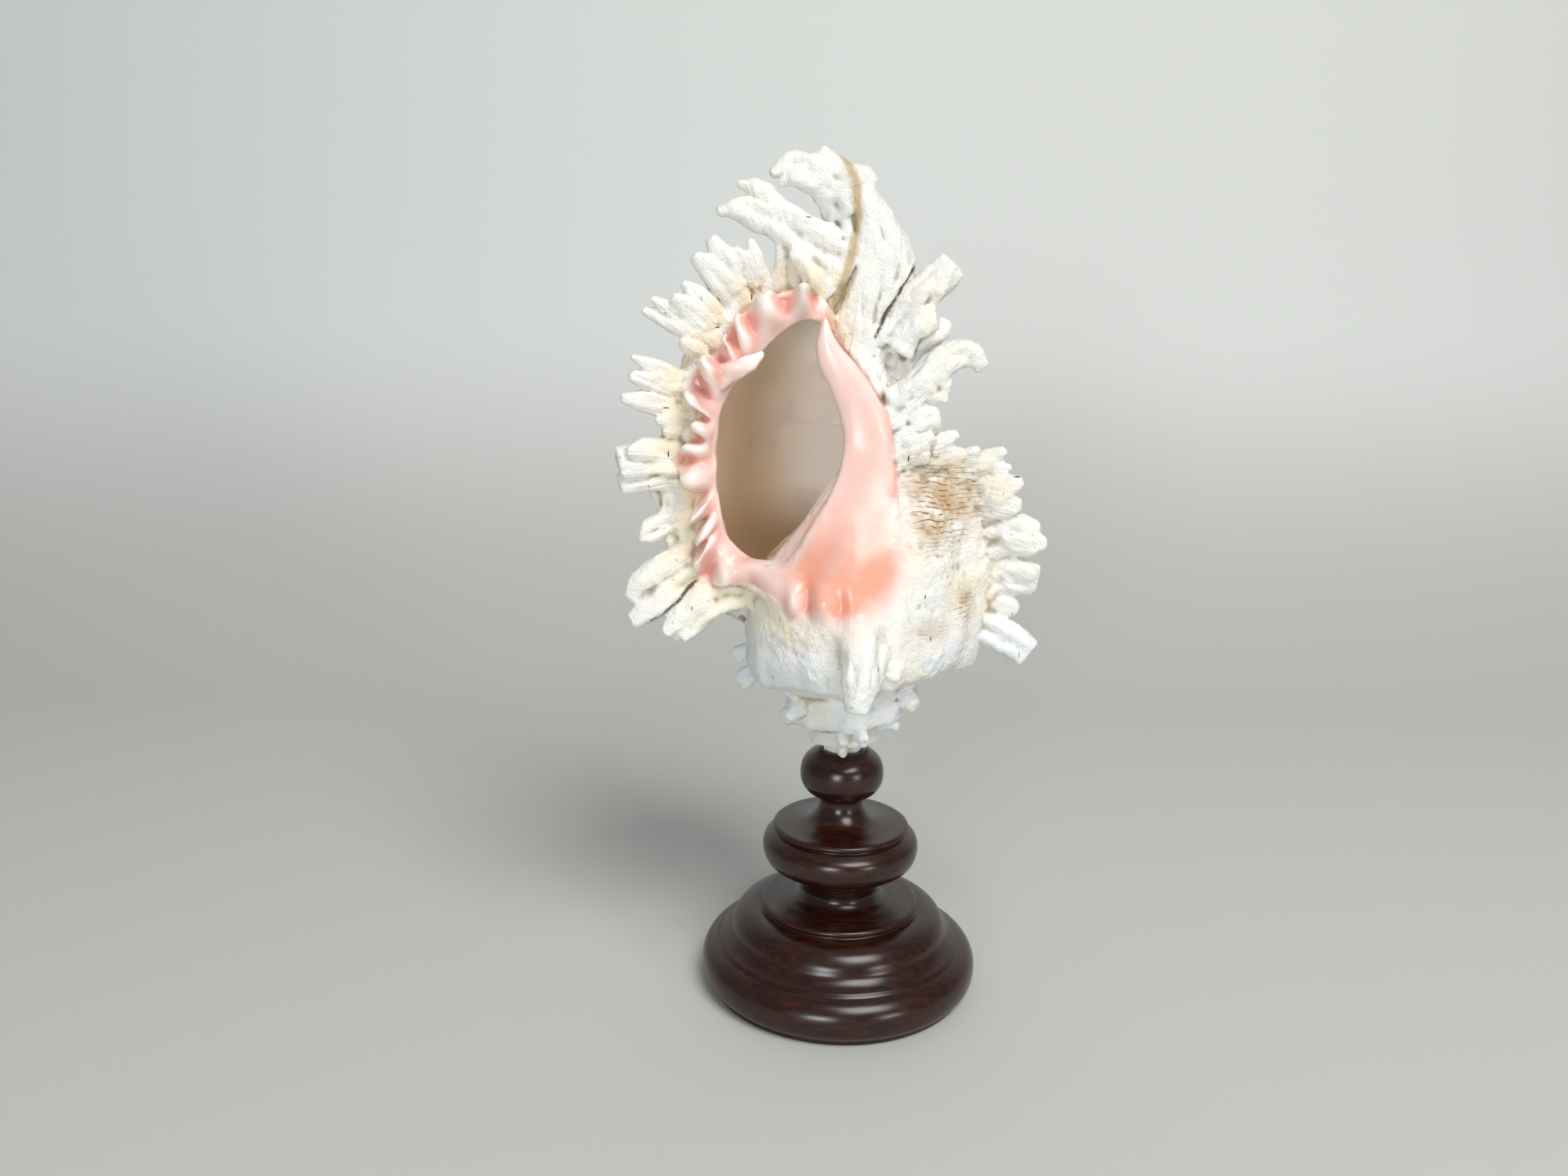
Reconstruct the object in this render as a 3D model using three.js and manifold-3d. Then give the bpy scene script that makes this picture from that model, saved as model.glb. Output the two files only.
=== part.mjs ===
// Ramose murex shell, standing apex down on a turned wooden stand.
// Millimetres, +Z up. The stand's foot is on z = 0, and the shell's mouth faces -Y.

import * as THREE from "three";
import { mergeVertices } from "three/addons/utils/BufferGeometryUtils.js";
import Module from "manifold-3d";

const wasm = await Module();
wasm.setup();

// Driving dimensions, in millimetres.
const FOOT_RADIUS = 50; // widest part of the stand's foot
const DISC_RADIUS = 28.2; // flat disc above the dome
const COLLAR_RADIUS = 28; // rounded collar halfway up
const KNOB_RADIUS = 14.9; // flattened ball that carries the shell
const JOINT_Z = 43; // where the spindle meets the foot
const SEAT_Z = 87; // floor of the shallow seat in the knob
const SEAT_RADIUS = 7.4;
const TENON_RADIUS = 6;
const TENON_LENGTH = 12;
const GAP = 0.3; // clearance between pieces that touch
const APEX_Z = 88; // the point that every whorl grows from
const LIP_AZIMUTH = 195; // degrees, where the last whorl ends
const MOUTH_Y = -16; // plane of the mouth's rim
const WIDTH_PER_WHORL = 1.69; // how much wider each whorl is than the last
const TURN_SEGMENTS = 36;
const SHELL_TOLERANCE = 0.2; // facets of the shell may stray this far

const DEG = Math.PI / 180;
const vec = (x, y, z) => new THREE.Vector3(x, y, z);

// ---- Solids -----------------------------------------------------------------

function toManifold(geometry) {
  const bare = geometry.clone();
  bare.deleteAttribute("normal");
  bare.deleteAttribute("uv");
  const merged = mergeVertices(bare, 1e-4);
  return new wasm.Manifold(new wasm.Mesh({
    numProp: 3,
    vertProperties: new Float32Array(merged.attributes.position.array),
    triVerts: new Uint32Array(merged.index.array),
  }));
}

function toGeometry(solid) {
  const mesh = solid.getMesh();
  const geometry = new THREE.BufferGeometry();
  geometry.setAttribute("position", new THREE.BufferAttribute(mesh.vertProperties, 3));
  geometry.setIndex(new THREE.BufferAttribute(mesh.triVerts, 1));
  geometry.computeVertexNormals();
  return geometry;
}

// A closed solid through a list of rings of points, with a fan on each end.
function loft(rings) {
  const count = rings[0].length;
  const positions = [];
  const index = [];
  for (const ring of rings) for (const p of ring) positions.push(p.x, p.y, p.z);
  for (let k = 0; k + 1 < rings.length; k++) {
    for (let j = 0; j < count; j++) {
      const a = k * count + j;
      const b = k * count + ((j + 1) % count);
      index.push(a, b, a + count, b, b + count, a + count);
    }
  }
  for (const [k, flip] of [[0, true], [rings.length - 1, false]]) {
    const centre = rings[k].reduce((sum, p) => sum.add(p), vec(0, 0, 0)).divideScalar(count);
    const c = positions.length / 3;
    positions.push(centre.x, centre.y, centre.z);
    for (let j = 0; j < count; j++) {
      const a = k * count + j;
      const b = k * count + ((j + 1) % count);
      if (flip) index.push(c, b, a);
      else index.push(c, a, b);
    }
  }
  const geometry = new THREE.BufferGeometry();
  geometry.setAttribute("position", new THREE.Float32BufferAttribute(positions, 3));
  geometry.setIndex(index);
  const solid = toManifold(geometry);
  if (solid.volume() > 0) return solid;
  for (let t = 0; t < index.length; t += 3) [index[t], index[t + 1]] = [index[t + 1], index[t]];
  geometry.setIndex(index);
  return toManifold(geometry);
}

const union = (solids) => solids.reduce((whole, solid) => whole.add(solid));

// A round turned solid: a profile of [radius, height] from the axis back to the axis.
function turned(profile) {
  const points = profile.map(([r, z]) => new THREE.Vector2(r, z));
  const geometry = new THREE.LatheGeometry(points, TURN_SEGMENTS);
  geometry.rotateX(Math.PI / 2);
  return toManifold(geometry);
}

// Points of a smooth curve through the given [radius, height] points.
function smooth(points, steps) {
  const curve = new THREE.SplineCurve(points.map(([r, z]) => new THREE.Vector2(r, z)));
  return curve.getPoints(steps).map((p) => [p.x, p.y]);
}

// ---- Growth of the shell ----------------------------------------------------

// Outline of the last whorl in the half-plane of the lip: [radius, height].
const WHORL = [
  [38, 134], [46, 141], [54, 149], [58, 165], [59.5, 182], [57, 200], [50, 217], [40, 231],
  [29, 243], [21, 254], [15, 262], [8, 264], [3, 256], [1.2, 236], [1.2, 200], [2, 160],
  [8, 140], [22, 131],
];

// Outline of the hollow inside the last whorl.
const HOLLOW = [
  [36, 141], [44, 146], [50.5, 153], [54.5, 166], [56, 182], [53.5, 198], [47, 213.5],
  [37.5, 226], [27, 237], [20, 243], [12.5, 240], [10, 225], [9.5, 195], [11, 165], [20, 148],
];

// Turns an outline point into a place on the shell, "whorls" turns from the lip.
function grown([radius, height], whorls) {
  const angle = (LIP_AZIMUTH + 360 * whorls) * DEG;
  const wide = radius * WIDTH_PER_WHORL ** whorls;
  const tall = (height - APEX_Z) * Math.exp(0.52 * whorls - 0.12 * whorls ** 2);
  return vec(wide * Math.cos(angle), wide * Math.sin(angle), APEX_Z + tall);
}

// Thickened ribs, at these numbers of whorls before the lip.
const VARICES = [-0.286, -0.575, -0.797, -1.083, -1.43, -1.76, -2.1, -2.45, -2.8];
const VARIX_SWELL = 0.17; // extra radius of a rib, as a share of the whorl's radius
const VARIX_WIDTH = 0.03; // half width of a rib, in whorls

function swell(whorls) {
  const away = Math.min(...VARICES.map((v) => Math.abs(whorls - v))) / VARIX_WIDTH;
  return away < 2 ? 1 + VARIX_SWELL * Math.cos((away * Math.PI) / 4) ** 2 : 1;
}

// One run of whorl: the outline carried along the growth spiral.
function whorl(outline, from, to) {
  const steps = Math.ceil((to - from) * 22);
  const stops = [from, to];
  for (let k = 1; k < steps; k++) stops.push(from + ((to - from) * k) / steps);
  const crests = VARICES.flatMap((v) => [v - VARIX_WIDTH, v, v + VARIX_WIDTH]);
  for (const n of crests) if (n > from + 0.01 && n < to - 0.01) stops.push(n);
  const rings = stops.sort((a, b) => a - b).map((n) => {
    const fat = swell(n);
    return outline.map(([r, z]) => grown([r < 5 ? r : r * fat, z], n));
  });
  return loft(rings);
}

// A rounded limb through stations of {at, across, deep}: half widths along two directions.
function limb(stations, across, deep, sides = 8) {
  return loft(stations.map(({ at, a, b }) => {
    const ring = [];
    for (let j = 0; j < sides; j++) {
      const t = (j * 2 * Math.PI) / sides;
      ring.push(at.clone().addScaledVector(across, a * Math.cos(t)).addScaledVector(deep, b * Math.sin(t)));
    }
    return ring;
  }));
}

// A spine that stands on the shell: wide at its root, curling toward the canal at its tip.
function spine(root, tip, width, curl = 2) {
  const run = tip.clone().sub(root);
  const side = vec(0, -1, 0).cross(run);
  if (side.length() < 1e-3 * run.length()) side.set(1, 0, 0);
  side.normalize();
  const face = run.clone().cross(side).normalize();
  const stations = [[-0.18, 1.25], [0.12, 0.95], [0.55, 0.6], [0.85, 0.42], [1, 0.16]].map(([t, w]) => ({
    at: root.clone().addScaledVector(run, t).add(vec(0, 0, curl * Math.max(t, 0) ** 2 - curl * Math.max(t, 0))),
    a: width * w,
    b: width * w * 0.6,
  }));
  return limb(stations, side, face, 6);
}

// Spines of a varix before the lip: [root radius, root height, tip radius, tip height, half width]
// in the lip's own size. Earlier ribs carry the same row, made smaller by growth.
const RIB_SPINES = [
  [50, 143, 68, 131, 5], [57, 156, 72, 150, 4.5], [60, 171, 76, 172, 4.5], [59, 187, 75, 192, 4],
  [56, 203, 73, 212, 4.5], [48, 219, 66, 234, 4.5], [38, 233, 55, 246, 4], [28, 244, 42, 260, 4],
];

function ribSpines(whorls, count) {
  return RIB_SPINES.slice(0, count).map(([r0, z0, r1, z1, w]) => {
    const size = WIDTH_PER_WHORL ** whorls;
    return spine(grown([r0, z0], whorls), grown([r1, z1], whorls), w * size, 2 * size);
  });
}

// Spines seen from the mouth side, [x, z] of root and tip at one depth y, then half width.
const LIP_SPINES = [
  [-21, 243, -20, 260, 5], [-33, 238, -48, 259, 4.5], [-41, 230, -61, 243, 4.5],
  [-46, 223, -57, 229, 3.5], [-51, 212, -74, 221, 4], [-53, 203, -64, 203, 3.5],
  [-53, 189, -80, 190, 5.5], [-53, 170, -71, 166, 4], [-49, 155, -77, 142, 5],
  [-36, 147, -60, 129, 4.5],
];
const CANAL_SPINES = [[-8, 272, -26, 284, 3.5], [-9, 258, -41, 273, 4.5]];
const RIGHT_SPINES = [
  [8, 236, 30, 259, 6.5], [14, 228, 30, 237, 3.5], [12, 211, 41, 225, 4.5], [18, 201, 29, 208, 3],
  [30, 186, 53, 197, 4], [38, 177, 58, 186, 4], [46, 165, 67, 171, 4], [50, 152, 67, 153, 3.5],
  [47, 138, 63, 127, 4.5],
];
const FRONT_SPINES = [[4, 134, 4, 116, 5]];

function flatSpines(rows, rootY, tipY) {
  return rows.map(([x0, z0, x1, z1, w]) => spine(vec(x0, rootY, z0), vec(x1, tipY, z1), w, 2));
}

// ---- Shell ------------------------------------------------------------------

// Rim of the mouth, [x, z] in the plane MOUTH_Y.
const MOUTH = [
  [-12, 239], [-16, 239], [-23, 235.5], [-29.5, 227], [-37, 219], [-42, 211], [-44.5, 199],
  [-44.5, 186], [-42.5, 173.5], [-38.5, 164.5], [-32, 160], [-25.5, 157.5], [-18, 158],
  [-8, 164], [-3, 176], [-2, 190], [-3.5, 208], [-9, 222],
];

// Flat-sided solid standing on an [x, z] outline between two depths.
function slab(outline, fromY, toY) {
  const ring = (y) => outline.map(([x, z]) => vec(x, y, z));
  return loft([ring(fromY), ring(toY)]);
}

const CANAL = [
  [-1, -1, 218, 15, 15], [0, -1, 232, 13, 13], [1, -2, 246, 13.5, 11], [3, -4, 258, 14, 9.5],
  [1, -6, 270, 11.5, 7.5], [-4, -8, 281, 7.5, 5.5], [-8.5, -9, 290, 2.6, 2.2],
];
const SLIT = [[-9.5, 233], [-5.5, 245], [-2, 257], [0, 270], [-2, 281], [-6, 292]];
const SLIT_WIDTH = 2.4;
const SLIT_DEPTH = 9;

// Glossy fold of the inner lip, laid on the pillar and on the whorl before:
// [x, y, z, half width, half thickness].
const INNER_LIP = [
  [-10, -13, 232, 3, 2.5], [-3, -12, 221, 6.5, 3.5], [4, -11, 209, 7.5, 4], [5, -12, 197, 7.5, 4.5],
  [4, -17, 186, 8.5, 4.5], [2, -24, 176, 11, 4.5], [-2, -32, 164, 13.5, 4], [-8, -34, 153, 13, 3],
];

function buildShell() {
  const past = vec(0, 1, 0);
  const lastTurn = whorl(WHORL, -0.72, -0.2);
  const toLip = whorl(WHORL, -0.2, 0.2)
    .subtract(slab([[-90, 100], [90, 100], [90, 300], [-90, 300]], -120, MOUTH_Y));
  const canal = limb(
    CANAL.map(([x, y, z, a, b]) => ({ at: vec(x, y, z), a, b })), vec(1, 0, 0), past, 12);
  const hollow = whorl(HOLLOW, -0.7, -0.015);
  const mouth = slab(MOUTH, MOUTH_Y - 12, -2);
  const slit = loft(SLIT.map(([x, z], k) => {
    const back = -SLIT_DEPTH + 6 - 0.9 * k;
    const half = SLIT_WIDTH / 2;
    return [vec(x - half, -40, z), vec(x + half, -40, z), vec(x + half, back, z), vec(x - half, back, z)];
  }));
  const spire = [[-1.6, -0.72], [-2.5, -1.6], [-3.3, -2.5]].map(([a, b]) => whorl(WHORL, a, b));
  const tip = turned([[0, SEAT_Z + GAP], [6.2, SEAT_Z + GAP], [7.2, 90], [8.5, 94], [0, 96]]);
  const lip = limb(
    INNER_LIP.map(([x, y, z, a, b]) => ({ at: vec(x, y, z), a, b })), vec(1, 0, 0), past, 10);

  const open = union([lastTurn, toLip, canal]).subtract(hollow).subtract(mouth);
  const spines = [
    ...flatSpines(LIP_SPINES, -13, -20),
    ...flatSpines(CANAL_SPINES, -8, -9),
    ...flatSpines(RIGHT_SPINES, -7, -12),
    ...flatSpines(FRONT_SPINES, -34, -45),
    ...ribSpines(-0.286, 8),
    ...ribSpines(-1.083, 2), ...ribSpines(-1.43, 1), ...ribSpines(-1.76, 1),
    ...ribSpines(-2.1, 1), ...ribSpines(-2.45, 1), ...ribSpines(-2.8, 1),
  ];
  const whole = union([open, ...spire, tip, lip, ...spines]).subtract(slit);
  return whole.asOriginal().simplify(SHELL_TOLERANCE);
}

// ---- Stand ------------------------------------------------------------------

function buildFoot() {
  const outline = [
    [0, 0], [FOOT_RADIUS - 0.9, 0],
    ...smooth([[FOOT_RADIUS - 0.5, 1.4], [FOOT_RADIUS, 7.5], [FOOT_RADIUS - 0.6, 11.4],
      [FOOT_RADIUS - 2.8, 14.2], [FOOT_RADIUS - 5.3, 15.8]], 6),
    [44.4, 16.9],
    ...smooth([[42, 17.9], [39.4, 20.2], [38, 23.4], [35.8, 26.4], [32.6, 28.2],
      [DISC_RADIUS + 0.2, 28.6]], 7),
    [DISC_RADIUS, 31],
    ...smooth([[23, 31.6], [18, 33.6], [15.6, 37], [15, 40.2]], 5),
    [17.2, 41], [17.4, JOINT_Z],
    [TENON_RADIUS + GAP, JOINT_Z], [TENON_RADIUS + GAP, JOINT_Z - TENON_LENGTH - GAP],
    [0, JOINT_Z - TENON_LENGTH - GAP],
  ];
  return turned(outline);
}

function buildSpindle() {
  const base = JOINT_Z + GAP;
  const outline = [
    [0, JOINT_Z - TENON_LENGTH], [TENON_RADIUS, JOINT_Z - TENON_LENGTH], [TENON_RADIUS, base],
    [17.4, base],
    ...smooth([[22, 44.2], [26.6, 47], [COLLAR_RADIUS, 51.2], [27.2, 55.3], [24.4, 58]], 7),
    [23.8, 59.8],
    ...smooth([[18.5, 60.6], [12.5, 62.4], [8.6, 66.2], [7.6, 70.2]], 5),
    ...smooth([[8.2, 71.1], [11.6, 72.6], [KNOB_RADIUS - 0.8, 76], [KNOB_RADIUS, 80],
      [KNOB_RADIUS - 1.5, 84.6], [10.4, 87.6], [8.6, 88.6]], 8),
    [SEAT_RADIUS, 88.6], [SEAT_RADIUS - 0.6, SEAT_Z], [0, SEAT_Z],
  ];
  return turned(outline);
}

// ---- Assembly ---------------------------------------------------------------

function piece(name, solid, color, roughness) {
  const material = new THREE.MeshStandardMaterial({ color, roughness, metalness: 0 });
  const mesh = new THREE.Mesh(toGeometry(solid), material);
  mesh.name = name;
  return mesh;
}

const model = new THREE.Group();
model.name = "murex_shell";
model.add(piece("stand_foot", buildFoot(), 0x3a1f18, 0.35));
model.add(piece("stand_spindle", buildSpindle(), 0x42231b, 0.35));
model.add(piece("shell", buildShell(), 0xe9e2d6, 0.75));

export default model;
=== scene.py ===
"""Ramose murex shell standing apex down on a turned, polished wooden stand.

The shell is grown: an outline carried along a spiral, a folded lip, a slit canal, and leafy spines
along its ribs, joined into one skin. The stand is two turnings.
"""

import math

import bpy
import numpy as np
from mathutils import Matrix, Vector


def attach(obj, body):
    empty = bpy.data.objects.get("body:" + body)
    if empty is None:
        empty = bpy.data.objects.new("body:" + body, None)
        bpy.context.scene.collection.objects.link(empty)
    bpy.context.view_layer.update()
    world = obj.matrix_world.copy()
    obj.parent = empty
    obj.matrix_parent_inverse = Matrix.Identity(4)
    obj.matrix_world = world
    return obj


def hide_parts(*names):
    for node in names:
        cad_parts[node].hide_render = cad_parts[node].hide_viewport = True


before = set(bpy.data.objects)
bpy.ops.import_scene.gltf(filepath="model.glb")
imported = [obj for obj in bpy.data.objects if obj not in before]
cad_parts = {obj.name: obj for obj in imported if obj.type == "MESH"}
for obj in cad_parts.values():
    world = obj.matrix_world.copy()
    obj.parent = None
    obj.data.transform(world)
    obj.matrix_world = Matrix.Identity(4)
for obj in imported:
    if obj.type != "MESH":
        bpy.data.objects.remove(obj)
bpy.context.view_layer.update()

MM = 0.001  # every shape below is worked out in millimetres

# The shell's size and growth, as in the CAD model.
APEX_Z = 88.0
LIP_AZIMUTH = math.radians(195)
WIDTH_PER_WHORL = 1.69
TURN_START = -0.76  # where the hollow last turn begins, in whorls from the lip
OUTLINE_MIDDLE = np.array([25.0, 190.0])  # [radius, z] that ribs and relief push away from
VOXEL = 0.7  # mm, the finest relief that the joined surface keeps
SHELL_TRIANGLES = 192000


# ---- Small mathematics ------------------------------------------------------

def smoothstep(low, high, x):
    """0 below low, 1 above high, and an even S between."""
    t = np.clip((x - low) / (high - low), 0, 1)
    return t * t * (3 - 2 * t)


def bell(x, centre, width):
    """1 at the centre, falling away as a Gaussian of that half width."""
    return np.exp(-(((x - centre) / width) ** 2))


def through(points, t):
    """A Catmull-Rom curve through the points at t from 0 to 1, spaced by chord length."""
    p = np.asarray(points, float)
    chord = np.r_[0, np.cumsum(np.linalg.norm(np.diff(p, axis=0), axis=1))]
    chord /= chord[-1]
    slope = np.gradient(p, chord, axis=0)
    k = np.clip(np.searchsorted(chord, t, side="right") - 1, 0, len(p) - 2)
    h = (chord[k + 1] - chord[k])[:, None]
    s = ((t - chord[k]) / (chord[k + 1] - chord[k]))[:, None]
    return ((2 * s**3 - 3 * s**2 + 1) * p[k] + (s**3 - 2 * s**2 + s) * h * slope[k]
            + (-2 * s**3 + 3 * s**2) * p[k + 1] + (s**3 - s**2) * h * slope[k + 1])


def scatter(cell, seed):
    """A random number from -1 to 1 for each lattice corner, from a sine hash."""
    h = np.sin(cell @ (127.1, 311.7, 74.7) + seed * 19.19) * 43758.5453
    return (h - np.floor(h)) * 2 - 1


TILT = np.array([[0.36, 0.48, -0.80], [-0.80, 0.60, 0.0], [0.48, 0.64, 0.60]])  # turns the lattice


def noise(p, size, seed=0, octaves=3):
    """Gradient noise of that feature size, about -1 to 1.

    Each corner of a turned lattice has a random slope; the slopes are eased together, and each
    octave is half the size and half the height of the last.
    """
    total, weight = np.zeros(p.shape[:-1]), 0.0
    for octave in range(octaves):
        q = p @ TILT / (size / 2**octave) + 17.3 * octave
        cell = np.floor(q)
        f = q - cell
        ease = f * f * f * (f * (f * 6 - 15) + 10)
        value = 0
        for corner in np.ndindex(2, 2, 2):
            corner = np.array(corner)
            share = np.prod(np.where(corner == 1, ease, 1 - ease), axis=-1)
            slope = [scatter(cell + corner, seed + octave + 31 * k) for k in (1, 2, 3)]
            value = value + share * sum(slope[k] * (f[..., k] - corner[k]) for k in range(3))
        total += 1.6 * value / 2**octave
        weight += 1 / 2**octave
    return total / weight


def ridged(p, size, seed):
    """Noise with sharp crests, about -1 to 1."""
    return 1 - 3.2 * np.abs(noise(p, size, seed, 2))


# ---- Surfaces and meshes ----------------------------------------------------

def tube_faces(rows, cols):
    """Quads of a rows by cols grid of points, with its columns joined round."""
    r, c = np.arange(rows - 1)[:, None] * cols, np.arange(cols)[None, :]
    nxt = (c + 1) % cols
    return np.stack([r + c, r + nxt, r + cols + nxt, r + cols + c], axis=-1).reshape(-1, 4)


def closed_tube(points):
    """A grid of rings closed at both ends: each end ring gets a fan to its mean point."""
    rows, cols = points.shape[:2]
    flat = points.reshape(-1, 3)
    ends = np.stack([points[0].mean(0), points[-1].mean(0)])
    c = np.arange(cols)
    nxt, last, n = (c + 1) % cols, (rows - 1) * cols, rows * cols
    fans = np.concatenate([
        np.stack([nxt, c, np.full(cols, n), np.full(cols, n)], 1),
        np.stack([last + c, last + nxt, np.full(cols, n + 1), np.full(cols, n + 1)], 1)])
    return np.vstack([flat, ends]), np.vstack([tube_faces(rows, cols), fans])


def to_mesh(name, surfaces):
    """One mesh from several (points, faces) surfaces, in metres; a repeated corner makes a triangle."""
    points, faces, start = [], [], 0
    for p, f in surfaces:
        points.append(p)
        faces.append(f + start)
        start += len(p)
    points, faces = np.vstack(points) * MM, np.vstack(faces)
    flat = faces[:, 2] == faces[:, 3]
    tri, quad = faces[flat][:, :3], faces[~flat]
    loops = np.concatenate([quad.ravel(), tri.ravel()])
    sizes = np.concatenate([np.full(len(quad), 4), np.full(len(tri), 3)])
    mesh = bpy.data.meshes.new(name)
    mesh.vertices.add(len(points))
    mesh.vertices.foreach_set("co", points.astype(np.float32).ravel())
    mesh.loops.add(len(loops))
    mesh.loops.foreach_set("vertex_index", loops.astype(np.int32))
    mesh.polygons.add(len(sizes))
    mesh.polygons.foreach_set("loop_start", (np.cumsum(sizes) - sizes).astype(np.int32))
    mesh.update(calc_edges=True)
    return mesh


def place(name, data):
    """An object at the origin that carries the mesh, light or camera."""
    piece = bpy.data.objects.new(name, data)
    bpy.context.scene.collection.objects.link(piece)
    return piece


# ---- Growth of the shell ----------------------------------------------------

def rise(whorls):
    """How tall the growing outline is, as a share of its height at the lip."""
    return np.exp(0.52 * whorls - 0.12 * whorls**2)


def grown(radius, height, whorls):
    """Turns an outline's radius and height into places on the shell, "whorls" turns from the lip.

    The azimuth turns once per whorl, the radius grows by a fixed factor per whorl, and the height
    above the apex grows by a factor that slows towards the lip.
    """
    azimuth = LIP_AZIMUTH + 2 * np.pi * whorls
    wide = radius * WIDTH_PER_WHORL**whorls
    return np.stack(np.broadcast_arrays(
        wide * np.cos(azimuth), wide * np.sin(azimuth), APEX_Z + (height - APEX_Z) * rise(whorls)), axis=-1)


# Outer outline of the last whorl in the lip's half-plane, from the suture round to the canal.
WALL_OUTLINE = [
    (35, 131), (38, 132.6), (44, 135.6), (50.5, 138.8), (55.6, 142.6), (57.6, 148), (58.4, 163),
    (58.8, 180), (56.5, 199), (50, 216), (41, 230), (30, 242), (21.5, 253), (14, 261), (8, 264)]
# The side that faces the axis, from the canal back to the suture.
CORE_OUTLINE = [(4, 261), (1.5, 250), (1.2, 200), (2, 160), (8, 140), (20, 130.5), (30, 129.5)]
# Thickened ribs, at these numbers of whorls before the lip.
VARICES = np.array([-0.286, -0.575, -0.797, -1.083, -1.43, -1.76, -2.1, -2.45, -2.8])
VARIX_SHARE = np.array([1, 1, 0.35, 0.7, 0.7, 0.7, 0.7, 0.7, 0.7])  # how strongly each one stands out
RIB_HEIGHT = 8.5  # mm on the last whorl, as are the relief's heights
CORDS, FINE_WRINKLES, WRINKLES, KNOBS, LUMPS = 0.30, 0.8, 1.1, 2.6, 1.7


def varix_swell(whorls):
    """How far a rib thickens the whorl: a bell on each rib, steeper on the side towards the lip."""
    away = whorls[..., None] - VARICES
    width = np.where(away > 0, 0.018, 0.032)
    return (np.exp(-((away / width) ** 2)) * VARIX_SHARE).max(-1)


def relief(radius, height, whorls, across):
    """Relief of the outer surface in mm: spiral cords, growth wrinkles, low axial knobs and lumps.

    Cords are cosines of the way across the outline; wrinkles are noise stretched along the outline,
    so that they follow the growing edge; knobs sit on the shoulder between ribs.
    """
    size = WIDTH_PER_WHORL**whorls
    swell = varix_swell(whorls)
    cords = CORDS * np.cos(across * 2 * np.pi * 9 + 3 * noise(grown(radius, height, whorls), 40.0, 2, 1))
    field = np.stack(np.broadcast_arrays(whorls * 250, across * 7, whorls * 0), -1)
    wrinkles = FINE_WRINKLES * noise(field, 2.6, 3, 2) + WRINKLES * noise(field, 9.0, 5, 2)
    knobs = KNOBS * bell(across, 0.2, 0.1) * np.maximum(0, np.cos(whorls * 2 * np.pi * 9.5)) ** 2
    lumps = LUMPS * noise(grown(radius, height, whorls), 20.0, 8, 2)
    worn = 0.15 + 0.85 * smoothstep(-0.78, -0.70, whorls)
    return (cords + wrinkles * (0.5 + 0.8 * swell) * worn + knobs * (1 - swell) + lumps) * size


def whorl_tube(start, stop, rows, cols):
    """A solid run of whorl: the closed outline carried along the growth spiral with its relief.

    The relief and the ribs push the outer part of the outline away from its middle.
    """
    wall = through(WALL_OUTLINE, np.linspace(0, 1, cols))
    core = through(CORE_OUTLINE, np.linspace(0, 1, cols // 3))
    outline = np.vstack([wall, core])
    across = np.r_[np.linspace(0, 1, cols), np.full(len(core), -1.0)]
    n = np.linspace(start, stop, rows)[:, None]
    r, z = outline[None, :, 0], outline[None, :, 1]
    out = relief(r, z, n, across[None, :]) / WIDTH_PER_WHORL**n
    out = out + RIB_HEIGHT * varix_swell(n) * smoothstep(0.0, 0.12, across) * smoothstep(1.0, 0.8, across)
    out = np.where(across[None, :] >= 0, out, 0) * smoothstep(0, 0.08, across)
    toward = outline - OUTLINE_MIDDLE
    toward /= np.linalg.norm(toward, axis=1)[:, None]
    return closed_tube(grown(r + out * toward[:, 0], z + out * toward[:, 1], n))


# ---- The mouth --------------------------------------------------------------

MOUTH_CENTRE = np.array([-25.0, 195.0])
# Seen from the mouth side, [x, z], from the canal's slit round to the parietal end.
LIP_EDGE = [
    (-9.5, 243), (-15, 246), (-22, 246.5), (-29, 244), (-35.5, 240), (-39.5, 235.5), (-42, 229.5),
    (-46.5, 225), (-52, 219), (-53, 212.5), (-50.5, 206.5), (-52.5, 199.5), (-57, 192), (-54, 185),
    (-51, 178.5), (-51, 172), (-49.7, 166), (-51, 159.5), (-50, 154), (-45.5, 151.5),
    (-35, 152), (-26, 149.5), (-19, 143.5)]
LIP_RIM = [
    (-10.5, 236.5), (-15.4, 237.5), (-22.8, 234), (-29.5, 227.5), (-36.5, 219.4), (-41.5, 211.8),
    (-44.2, 199.2), (-44.5, 186.4), (-42.7, 173.5), (-38.8, 164.8), (-32.2, 160), (-25.7, 157.4),
    (-19.2, 158)]
# Folds of the lip counted along its edge: few and broad at the top, closest together on the left.
FOLD_COUNT = [(0, 0), (0.3, 4.4), (0.55, 8.6), (0.79, 13.4), (1, 15.6)]
EDGE_Y, RIM_Y = -15.0, -14.5  # depth of the lip's outer edge and of the mouth's rim
FACE_CROWN, FACE_FOLD, EDGE_WAVE = 3.6, 3.0, 2.0  # mm, how far the pink face swells, folds and waves
WALL, DEEP_WALL = 3.2, 4.4  # mm, the wall's thickness at the lip and at the end of the hollow


def around(points, s):
    """Points at even shares of the angle about the mouth's centre, which keeps edge and rim in step."""
    p = np.asarray(points, float)
    fine = through(p, np.linspace(0, 1, 600))
    angle = np.unwrap(np.arctan2(*(fine - MOUTH_CENTRE).T[::-1]))
    want = angle[0] + (angle[-1] - angle[0]) * s
    order = np.argsort(angle)
    return np.stack([np.interp(want, angle[order], fine[order, a]) for a in (0, 1)], -1)


def fold_height(phase):
    """Height of the lip's folds, from -1 to 1: round crests, slightly narrower troughs."""
    wave = np.cos(2 * np.pi * phase)
    return wave + 0.25 * (1 - wave * wave)


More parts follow.
